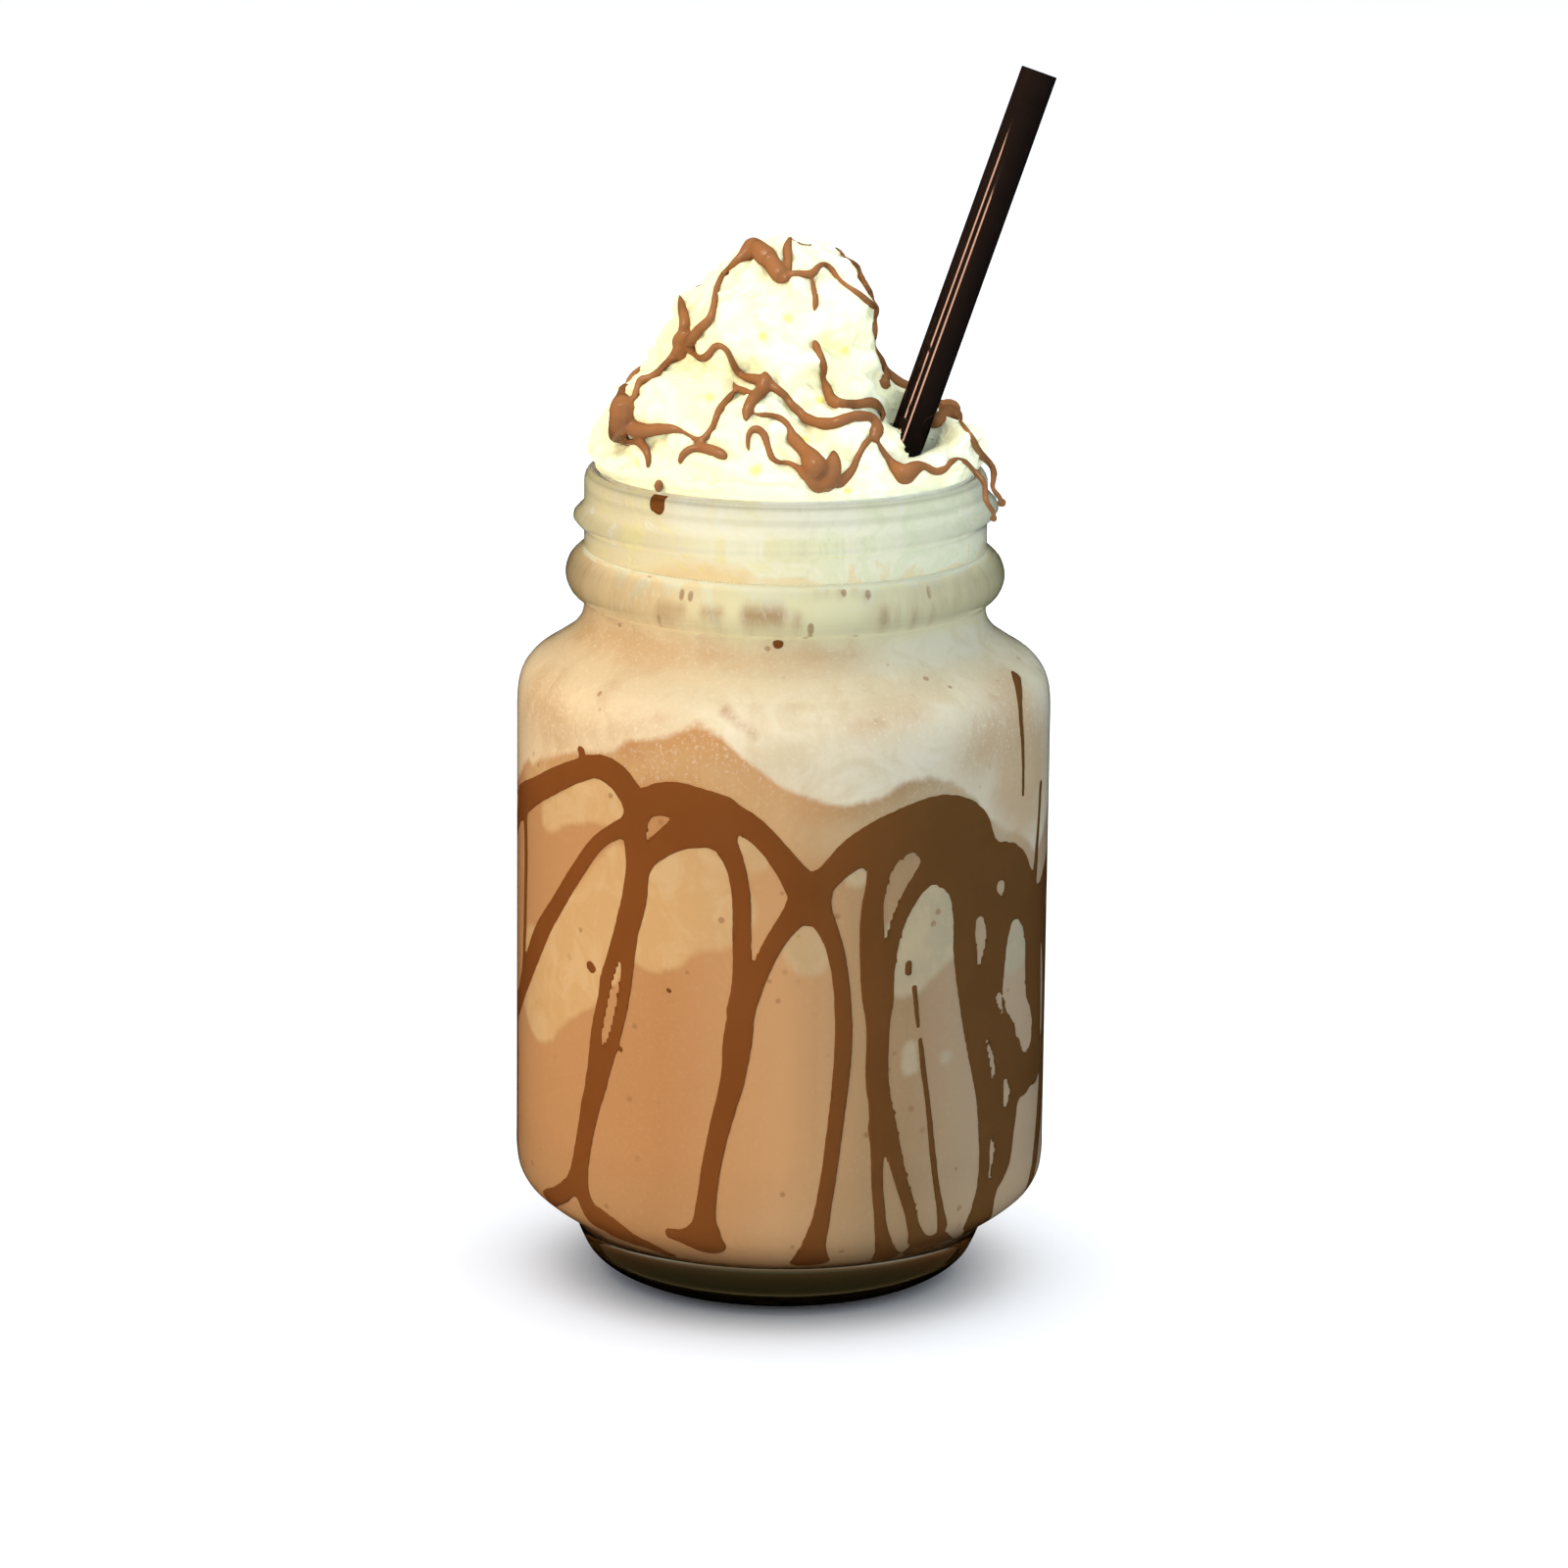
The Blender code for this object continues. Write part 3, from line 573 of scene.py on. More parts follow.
# Sauce streaks
# Thin chocolate sauce poured down the inside of the glass before the drink went in. It runs in
# loops and legs that join where they touch. Each stroke is (across, down, width) in the picture.
STREAKS = [
    [(524, 822, 12), (545, 808, 20), (565, 797, 24), (588, 787, 24), (610, 782, 24), (628, 791, 24),
     (640, 806, 24), (648, 822, 22)],
    [(536, 829, 6), (537, 870, 5), (536, 934, 5), (534, 999, 4)],
    [(650, 838, 22), (630, 847, 18), (610, 860, 15), (591, 886, 14), (571, 919, 13),
     (552, 953, 13), (536, 998, 12), (528, 1030, 10)],
    [(648, 828, 18), (649, 858, 24), (650, 885, 23), (647, 918, 26), (640, 946, 25), (635, 970, 27),
     (631, 990, 31), (628, 1003, 33), (625, 1023, 32), (621, 1041, 32), (617, 1058, 30),
     (611, 1090, 24), (606, 1115, 21), (602, 1130, 19), (595, 1170, 16), (590, 1203, 18)],
    [(590, 1203, 15), (578, 1214, 20), (564, 1221, 22), (550, 1226, 14)],
    [(591, 1203, 12), (597, 1224, 13), (606, 1242, 16), (625, 1256, 19), (640, 1263, 18),
     (658, 1270, 14), (682, 1280, 8)],
    [(650, 828, 24), (666, 817, 32), (688, 816, 36), (712, 823, 38), (735, 829, 36)],
    [(652, 892, 14), (661, 877, 18), (676, 862, 26), (696, 850, 34), (720, 846, 38)],
    [(735, 830, 26), (757, 838, 26), (780, 856, 24), (800, 880, 26), (818, 905, 34),
     (827, 918, 40)],
    [(735, 852, 28), (749, 880, 20), (756, 912, 19), (757, 960, 19), (756, 1000, 18),
     (753, 1030, 22)],
    [(822, 924, 36), (806, 940, 24), (788, 966, 20), (771, 1003, 19), (757, 1036, 26),
     (753, 1060, 30), (747, 1104, 25), (737, 1141, 22), (728, 1179, 20), (722, 1216, 20),
     (719, 1247, 24), (720, 1268, 40)],
    [(716, 1266, 26), (698, 1262, 14), (684, 1259, 10)],
    [(830, 924, 34), (843, 945, 22), (853, 972, 18), (859, 1010, 17), (861, 1060, 18),
     (857, 1110, 17), (851, 1160, 16), (844, 1210, 16), (837, 1247, 18), (828, 1279, 28),
     (825, 1296, 40)],
    [(828, 912, 34), (845, 895, 26), (870, 872, 32), (895, 860, 42), (925, 851, 54),
     (946, 849, 68), (964, 850, 80), (978, 858, 82), (988, 880, 72)],
    [(905, 868, 40), (897, 900, 26), (890, 935, 24), (891, 975, 28), (896, 1010, 34),
     (896, 1050, 24), (895, 1100, 24), (899, 1126, 26), (902, 1150, 28)],
    [(895, 1150, 16), (895, 1180, 13), (895, 1206, 12), (897, 1232, 12), (899, 1256, 13),
     (903, 1276, 20), (904, 1292, 28)],
    [(908, 1152, 17), (914, 1184, 15), (922, 1212, 14), (930, 1238, 14), (938, 1260, 22)],
    [(938, 1264, 26), (960, 1276, 32), (984, 1264, 26), (998, 1248, 14)],
    [(946, 880, 40), (930, 905, 26), (918, 930, 24), (910, 965, 24), (904, 1000, 24)],
    [(990, 880, 64), (1000, 910, 64), (1003, 950, 62), (1006, 990, 60), (1010, 1025, 58),
     (1014, 1060, 54), (1019, 1100, 48), (1020, 1130, 43), (1018, 1160, 37), (1016, 1185, 32),
     (1009, 1206, 22), (1004, 1225, 19), (996, 1242, 15)],
    [(1014, 874, 30), (1026, 879, 34), (1036, 895, 34), (1046, 914, 30), (1058, 918, 24)],
    [(1034, 900, 40), (1046, 940, 36), (1050, 1000, 30), (1052, 1040, 26), (1050, 1075, 30),
     (1038, 1092, 34)],
    [(1056, 925, 20), (1058, 980, 14), (1058, 1040, 14), (1056, 1084, 20)],
    [(1036, 688, 5), (1038, 697, 5), (1040, 712, 4.5), (1042, 738, 4), (1044, 770, 3),
     (1044, 810, 2.4)],
    [(1062, 800, 4), (1059, 850, 4), (1056, 892, 6)],
    [(602, 985, 7), (604, 988, 7)],
    [(592, 765, 6), (594, 766, 6)],
    [(794, 656, 11), (794, 658, 10)],
    [(682, 1010, 4), (683, 1011, 4)],
    [(634, 1071, 3), (634, 1072, 3)],
    [(673, 507, 14), (672, 517, 12)],
]
GAPS = [
    [(666, 846, 12), (660, 856, 6)],
    [(632, 984, 5), (629, 1000, 9), (626, 1015, 10), (622, 1036, 10), (618, 1054, 9), (616, 1066, 4)],
    [(930, 880, 18), (921, 891, 22), (914, 906, 19), (909, 922, 15), (906, 938, 10), (903, 956, 5)],
    [(956, 922, 28), (951, 936, 44), (947, 958, 56), (944, 990, 62), (944, 1025, 66),
     (947, 1060, 79), (951, 1100, 88), (957, 1140, 84), (961, 1178, 77), (964, 1205, 66),
     (965, 1225, 56)],
    [(1000, 941, 9), (1001, 953, 12), (1001, 966, 9), (999, 984, 4)],
    [(1021, 905, 9), (1022, 914, 4)],
    [(1036, 950, 13), (1037, 965, 20), (1036, 990, 23), (1036, 1010, 25), (1040, 1028, 18),
     (1046, 1045, 17), (1047, 1058, 14)],
    [(1019, 1018, 7), (1023, 1034, 3)],
    [(1007, 1062, 4), (1011, 1077, 6), (1013, 1092, 5), (1013, 1103, 3)],
    [(1026, 1104, 5), (1027, 1115, 7), (1026, 1125, 5)],
    [(1012, 1164, 4), (1012, 1175, 6), (1010, 1190, 4), (1010, 1203, 3)],
]
DRIBBLES = [
    [(927, 984, 7), (927, 992, 7)],
    [(933, 1008, 5), (935, 1028, 5), (937, 1047, 4)],
    [(939, 1061, 4), (942, 1090, 6), (946, 1120, 5), (950, 1160, 6), (954, 1200, 6),
     (959, 1232, 7), (961, 1254, 9)],
]

# The guessed rest of the sauce round the back: (degrees from the front, height, width).
BACK_STREAKS = [
    [(78, 64, 8), (84, 60, 6), (87, 48, 6), (85, 36, 6), (80, 24, 4), (77, 14, 3)],
    [(80, 66, 7), (95, 74, 4.5), (112, 76, 5), (126, 71, 5), (131, 62, 4)],
    [(112, 76, 4), (108, 58, 3), (105, 36, 3), (104, 14, 4)],
    [(131, 62, 4), (129, 40, 3.2), (131, 22, 3.2), (130, 13, 4.5)],
    [(131, 62, 4), (140, 74, 4.5), (156, 80, 6), (172, 79, 6), (185, 71, 5), (191, 61, 5)],
    [(152, 80, 4), (150, 58, 3), (148, 34, 3), (149, 14, 4.5)],
    [(191, 61, 5), (194, 42, 3.4), (192, 26, 3.2), (194, 13, 5)],
    [(191, 61, 5), (203, 75, 4.5), (220, 80, 5.5), (236, 78, 5.5), (248, 70, 5), (254, 60, 4.5)],
    [(222, 79, 4), (220, 56, 3), (224, 36, 3), (223, 13, 4.5)],
    [(254, 60, 4.5), (256, 40, 3.2), (254, 24, 3), (256, 13, 5)],
    [(254, 60, 4.5), (262, 70, 4), (272, 76, 3.6), (280, 80, 3)],
    [(268, 74, 3), (270, 56, 2.6), (274, 38, 2.4), (272, 20, 3)],
]
# Millimetres along the wall for one degree of turn.
DEGREE = 0.72
STREAK_CELL = 0.40
STREAK_COLUMNS = 640
STREAK_THICKNESS = 0.3


def round_the_wall(stroke):
    """3-D line and half widths, in metres, of a (degrees, height, width) stroke."""
    steps = even_steps([(turn * DEGREE, height, width) for turn, height, width in stroke], 1.5)
    turn = np.radians(steps[:, 0] / DEGREE)
    radii = np.interp(steps[:, 1], skin_height, skin_radius)
    line = np.stack([radii * np.sin(turn), -radii * np.cos(turn), steps[:, 1]], axis=1)
    return line * MM, steps[:, 2] * 0.5 * MM


skin_row = [p for p in lining_rows if p.y > 9.8 and p.x > 30.0]
skin_steps = [(b - a).length for a, b in zip(skin_row[:-1], skin_row[1:])]
skin_run = np.concatenate([[0], np.cumsum(skin_steps)])
skin_radius = np.array([p.x for p in skin_row])
skin_height = np.array([p.y for p in skin_row])
patch = bmesh.new()
bmesh.ops.create_grid(patch, x_segments=STREAK_COLUMNS,
                      y_segments=int(skin_run[-1] / STREAK_CELL), size=1.0)
grid = np.array([v.co for v in patch.verts])
run = (grid[:, 1] + 1) / 2 * skin_run[-1]
turns = grid[:, 0] * math.pi
radii = np.interp(run, skin_run, skin_radius) + WETTED
heights = np.interp(run, skin_run, skin_height)
places = np.stack([radii * np.sin(turns), -radii * np.cos(turns), heights], axis=1) * MM
strokes = [on_the_wall(s) for s in STREAKS] + [round_the_wall(s) for s in BACK_STREAKS]
depth, way = depth_in(places, strokes, 1.1 * MM)
gap, gap_way = depth_in(places, [on_the_wall(s) for s in GAPS], 0.3 * MM)
opened = -gap < depth
depth = np.where(opened, -gap, depth)
way[opened] = -gap_way[opened]
thin_runs, thin_way = depth_in(places, [on_the_wall(s) for s in DRIBBLES], 0.3 * MM)
joined = thin_runs > depth
depth = np.where(joined, thin_runs, depth)
way[joined] = thin_way[joined]
ragged = np.array([noise.noise(Vector(p) * 900.0) for p in places])
depth = depth + 0.07 * MM * ragged
keep = depth > 0
for face in list(patch.faces):
    if not any(keep[v.index] for v in face.verts):
        patch.faces.remove(face)
moved = places + np.where(keep[:, None], 0.0, 1.0) * way * np.minimum(-depth, 0.9 * MM)[:, None]
for vert in patch.verts:
    vert.co = Vector(moved[vert.index])
loose = [v for v in patch.verts if not v.link_faces]
bmesh.ops.delete(patch, geom=loose, context="VERTS")
bmesh.ops.remove_doubles(patch, verts=patch.verts, dist=2e-6)
bmesh.ops.recalc_face_normals(patch, faces=patch.faces)
outwards = sum(f.normal.dot(Vector((f.calc_center_median().x, f.calc_center_median().y, 0)))
               for f in patch.faces)
if outwards < 0:
    bmesh.ops.reverse_faces(patch, faces=patch.faces)
bmesh.ops.solidify(patch, geom=patch.faces, thickness=STREAK_THICKNESS * MM)

sauce = Shading("chocolate_sauce_on_glass")
thin = sauce.noise(70.0)
# Painted shade: the sauce turns darker and more olive towards the right.
sauce.feed("Base Color", sauce.tinted(
    sauce.mix(thin, (0.215, 0.068, 0.015), (0.280, 0.094, 0.022)), sauce.axes()["X"], -0.008, 0.028,
    sauce.mix(thin, (0.150, 0.066, 0.018), (0.200, 0.086, 0.026))))
sauce.fixed("Roughness", 0.5)
sauce.fixed("Specular IOR Level", 0.05)
sauce_streaks = smooth_object(patch, "sauce_streaks", sauce.material)

# Whipped cream
# Cream piped from a siphon: a wide lower tier that rests in the neck and a tall peak on it, with
# puffy folds and small broken hollows. It fills the neck against the glass.
CREAM_TURNS = 340
STRAW_BERTH = 3.2
BERTH_FADE = 2.0
# Width of one pixel of the picture at the cream, about.
PIXEL = 0.161 * MM
# (height over the rim, reach to the left, reach to the right), in millimetres.
MOUND = [
    (0.7, 31.4, 31.4), (2.2, 32.2, 32.0), (4.5, 32.6, 32.2), (7.6, 31.2, 30.6), (10.6, 29.4, 26.4),
    (12.8, 28.0, 20.5), (14.6, 25.4, 17.6), (17.3, 22.2, 16.5), (21.0, 19.8, 16.0),
    (24.5, 18.8, 15.7), (28.0, 17.4, 15.3), (31.0, 13.8, 13.9), (33.6, 10.8, 12.0),
    (36.0, 8.2, 8.8), (37.8, 5.2, 3.6), (38.6, 1.8, 0.6),
]
# (across, away, height, radius) of the larger puffs.
LUMPS = [
    (16.4, -10.8, 142.0, 4.6), (-20.0, -16.5, 147.0, 7.5), (-6.0, -24.0, 143.5, 8.5),
    (9.0, -22.5, 143.0, 7.5), (-9.5, -13.0, 160.5, 7.0), (7.5, -9.5, 163.5, 6.5),
    (-16.0, 15.0, 149.0, 8.0), (12.0, 18.0, 147.0, 8.0), (24.0, -12.5, 141.0, 6.0),
    (1.0, 12.0, 161.0, 7.0),
]


def mound_reach(height):
    """(left, right) reach of the mound at a height over the rim."""
    heights = [row[0] for row in MOUND]
    return (np.interp(height, heights, [row[1] for row in MOUND]),
            np.interp(height, heights, [row[2] for row in MOUND]))


def billow(x, y, z, size):
    """0 in the creases to about 1 on the puffs."""
    return min(1.0, 1.7 * abs(noise.noise(Vector((x, y, z)) / size)))


def crag(angle, height):
    """Folds round the cream, in millimetres."""
    folds = 0.9 * math.sin(4 * angle + 0.33 * height + 0.6)
    folds += 0.7 * math.sin(7 * angle - 0.47 * height + 2.1)
    folds += 0.6 * math.sin(11 * angle + 0.81 * height + 4.0)
    folds += 0.5 * math.sin(3 * angle + 1.15 * height)
    return folds


STRAW_TOP = Vector((40.3, 0.8, 201.5)) * MM
STRAW_FOOT = Vector((-24.2, -20.1, 16.0)) * MM
STRAW_RADIUS = 3.0 * MM
STRAW_ENDS_AT = [(900, 434), (909, 439), (918, 441), (920, 455), (927, 470), (936, 470), (941, 466)]


def straw_shown_to(u):
    """How far down the picture the straw shows at this place across."""
    return np.interp(u, [p[0] for p in STRAW_ENDS_AT], [p[1] for p in STRAW_ENDS_AT])


def closest_on_straw(spot):
    """How far from the eye the straw passes the line of sight to a place, and how far beside it."""
    line = (spot - EYE).normalized()
    along = (STRAW_TOP - STRAW_FOOT).normalized()
    across = line.cross(along)
    beside = abs((STRAW_FOOT - EYE).dot(across)) / across.length
    return (STRAW_FOOT - EYE).cross(along).dot(across) / across.length_squared, beside


# Where the cream ends at the right and the left, (across, down) in the picture.
RIGHT_EDGE = [(848, 250), (862, 262), (876, 273), (880, 290), (892, 312), (889, 336), (893, 358),
              (899, 378), (916, 396), (960, 404)]
LEFT_EDGE = [(640, 396), (622, 412), (608, 432), (601, 450), (598, 466)]

cream_rows = [Vector((radius, 122.0)) for radius in (0.0, 10.0, 20.0, 28.0)]
cream_rows += [Vector((IN_MOUTH + WETTED, 122.2 + 0.6 * k)) for k in range(21)]
cream_rows += [Vector((30.6, RIM + 0.15)), Vector((31.3, RIM + 0.5))]
cream_rows += [Vector((sum(mound_reach(0.7 + 0.38 * k)) / 2, RIM + 0.7 + 0.38 * k))
               for k in range(100)]
cream_rows.append(Vector((0.0, RIM + 38.9)))
cream_mesh = turn_on_axis(cream_rows, CREAM_TURNS)
hollow = {}
for vert in cream_mesh.verts:
    x, y, z = vert.co / MM
    height = z - RIM
    radius = math.hypot(x, y)
    if height < 0.6 or radius < 1e-6:
        continue
    left, right_side = mound_reach(height)
    angle = math.atan2(y, x)
    middle = 0.5 * (right_side - left)
    soft = min(1.0, radius / 12.0) * min(1.0, (height - 0.6) / 4.0)
    reach = radius + crag(angle, height) * soft
    for lx, ly, lz, lr in LUMPS:
        dx, dy, dz = math.cos(angle), math.sin(angle), z - lz
        along = (lx - middle) * dx + ly * dy
        off = (lx - middle) ** 2 + ly**2 - along**2 + dz**2
        if off < lr**2 and along > 0:
            reach = max(reach, along + math.sqrt(lr**2 - off) * 0.8)
    spot = Vector((middle + reach * math.cos(angle), reach * math.sin(angle), z))
    grainy = noise.voronoi(spot / 2.1)[0][0]
    puff = (1.7 * (billow(*spot, 9.0) - 0.5) + 1.0 * (billow(*spot, 4.2) - 0.5)
            + 0.8 * (0.45 - grainy))
    hollow[vert.index] = -puff
    outward = Vector((math.cos(angle), math.sin(angle), 0.55)).normalized()
    spot += outward * puff * min(1.0, 0.25 + soft)
    if spot.y < 0.0:
        hold = 30.9 + 0.5 * max(0.0, height - 0.6)
        over = math.hypot(spot.x, spot.y) / hold
        if over > 1.0 and height < 3.5 and abs(spot.x) < 26.0:
            spot.x /= over
            spot.y /= over
    spot *= MM
    u, v, far = seen_at(spot)
    over = u - np.interp(v, [p[1] for p in RIGHT_EDGE], [p[0] for p in RIGHT_EDGE])
    under = u - np.interp(v, [p[1] for p in LEFT_EDGE], [p[0] for p in LEFT_EDGE])
    if v < RIGHT_EDGE[-1][1] and over > 0.0:
        spot.x -= 0.9 * over * PIXEL
    if LEFT_EDGE[0][1] < v and under < 0.0 and height > 1.5:
        spot.x -= 0.9 * under * PIXEL
    u, v, far = seen_at(spot)
    straw_at, beside = closest_on_straw(spot)
    aside = beside / STRAW_RADIUS
    cleared = min(1.0, max(0.0, (STRAW_BERTH - aside) / BERTH_FADE))
    cleared *= min(1.0, max(0.0, (straw_shown_to(u) - v) / (5.0 + 9.0 * max(0.0, aside - 1.0))))
    if cleared > 0.0 and straw_at > far - 1.0 * MM:
        eased = cleared * cleared * (3 - 2 * cleared)
        spot += line_of_sight(u, v) * (straw_at + 1.0 * MM - far) * eased
    vert.co = spot
bmesh.ops.recalc_face_normals(cream_mesh, faces=cream_mesh.faces)
pits = np.array([hollow.get(v.index, 0.0) for v in cream_mesh.verts])
cream_tree = BVHTree.FromBMesh(cream_mesh)


def on_the_cream(u, v, lift, tree=cream_tree):
    """Where a point of the picture lands on the cream, raised by lift metres."""
    line = line_of_sight(u, v)
    spot, normal, _, _ = tree.ray_cast(EYE, line)
    if spot is None:
        reach = -EYE.y / line.y
        spot, normal, _, _ = tree.find_nearest(EYE + line * reach)
    if normal.dot(line) > 0:
        normal = -normal
    return spot + normal * lift


whipped = Shading("whipped_cream")
side = whipped.axes()
soft_cloud = whipped.noise(75.0, 4.0, 0.55, 0.3)
mottle = whipped.noise(190.0, 4.0, 0.6, 0.5)
fine = whipped.noise(700.0)
veined = whipped.noise(110.0, 5.0, 0.62, 1.4)
# Painted warm light: the cream is yellower at the left.
colour = whipped.tinted((0.95, 0.938, 0.58), side["X"], -0.020, 0.012, (0.95, 0.942, 0.70))
# Painted shade: the hollows turn yellowish grey. The clouds, mottles and fine grain are the cream's
# own uneven tone.
for mask, low, high, tone, strength in (
        (whipped.attribute("hollow"), 0.0, 1.3, (0.93, 0.87, 0.52), 0.75),
        (soft_cloud, 0.48, 0.70, (0.94, 0.89, 0.52), 0.6),
        (mottle, 0.50, 0.68, (0.96, 0.90, 0.50), 0.45),
        (fine, 0.50, 0.30, (0.90, 0.90, 0.60), 0.40)):
    colour = whipped.tinted(colour, mask, low, high, tone, strength)
shaded = whipped.math("MULTIPLY", whipped.spread(side["X"], 0.002, 0.030, 0.0, 0.85),
                      whipped.spread(mottle, 0.40, 0.68))
colour = whipped.mix(shaded, colour, (0.78, 0.80, 0.56))
# Painted light in the neck: the cream is warmer and more yellow at the left, greener at the right.
neck_patch_and_painted_light = whipped.tinted((0.98, 0.90, 0.50), side["X"], -0.012, 0.010, (0.90, 0.93, 0.70))
low_down = whipped.math("ADD", side["Z"], whipped.wobble(veined, 0.022))
neck_colour_and_painted_light = whipped.tinted((0.96, 0.86, 0.60), side["X"], -0.024, -0.004, (1.0, 0.985, 0.80))
neck_colour_and_painted_light = whipped.tinted(neck_colour_and_painted_light, veined, 0.50, 0.64, neck_patch_and_painted_light, 0.8)
neck_colour_and_painted_light = whipped.tinted(neck_colour_and_painted_light, veined, 0.44, 0.36, (1.0, 1.0, 0.90), 0.8)
neck_colour_and_painted_light = whipped.tinted(neck_colour_and_painted_light, low_down, 0.1245, 0.1225, (0.97, 0.86, 0.60))
for layer, low, high, tone, strength in (
        ("in_neck", 0.2, 0.8, neck_colour_and_painted_light, 1.0),
        ("peach", -0.0016, 0.0034, (0.93, 0.70, 0.40), 0.8),
        ("clean", -0.0016, 0.0030, (1.0, 0.99, 0.90), 0.7),
        ("yellow", 0.0, 0.9, (0.95, 0.82, 0.16), 0.85)):
    colour = whipped.tinted(colour, whipped.attribute(layer), low, high, tone, strength)
whipped.feed("Base Color", colour)
whipped.fixed("Roughness", 0.55)
whipped.fixed("Specular IOR Level", 0.25)
whipped.bump(fine, 0.6, 0.0006)
cream = smooth_object(cream_mesh, "cream", whipped.material)
cream.visible_glossy = False
# Yellow, peach, clean white and leaf-shaped places of the cream: (across, down, width) in the
# picture. The yellow spots are a painted glow of light in deep hollows.
YELLOW_SPOTS = [(724, 405, 9), (772, 480, 12), (837, 409, 10), (804, 325, 9), (778, 343, 8),
                (862, 357, 8), (865, 501, 6), (650, 472, 9), (822, 448, 9)]
PEACH_PATCHES = [[(665, 590, 24), (700, 586, 34), (745, 590, 32), (758, 598, 18)],
                 [(800, 602, 8), (880, 604, 10), (960, 600, 10)], [(598, 560, 12), (600, 590, 16)]]
CLEAN_PATCHES = [[(790, 574, 10), (776, 588, 9), (771, 606, 6)], [(800, 530, 60), (860, 528, 40)],
                 [(700, 530, 50), (760, 545, 40)]]
LEAF_PATCHES = [[(742, 530, 8)], [(697, 563, 10)], [(716, 580, 9)], [(830, 563, 6), (868, 563, 6)]]
skin = np.array([v.co for v in cream.data.vertices])
yellow = np.zeros(len(skin))
for u, v, width in YELLOW_SPOTS:
    middle = np.array(on_the_cream(u, v, 0.0))
    far_off = np.linalg.norm(skin - middle, axis=1)
    yellow = np.maximum(yellow, 1.0 - far_off / (width * PIXEL))
neck_only = np.where(skin[:, 2] < (RIM + 0.4) * MM, 0.0, -1.0)
leaf, _ = depth_in(skin, [on_the_wall(s) for s in LEAF_PATCHES], 1 * MM)
yellow = np.maximum(yellow, np.clip(leaf / (1.2 * MM) + neck_only, 0, 0.8))
peach, _ = depth_in(skin, [on_the_wall(s) for s in PEACH_PATCHES], 2 * MM)
clean, _ = depth_in(skin, [on_the_wall(s) for s in CLEAN_PATCHES], 2 * MM)
store(cream, hollow=pits, in_neck=1.0 + neck_only, yellow=yellow, peach=peach + neck_only,
      clean=clean + neck_only)
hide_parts("whipped_cream")

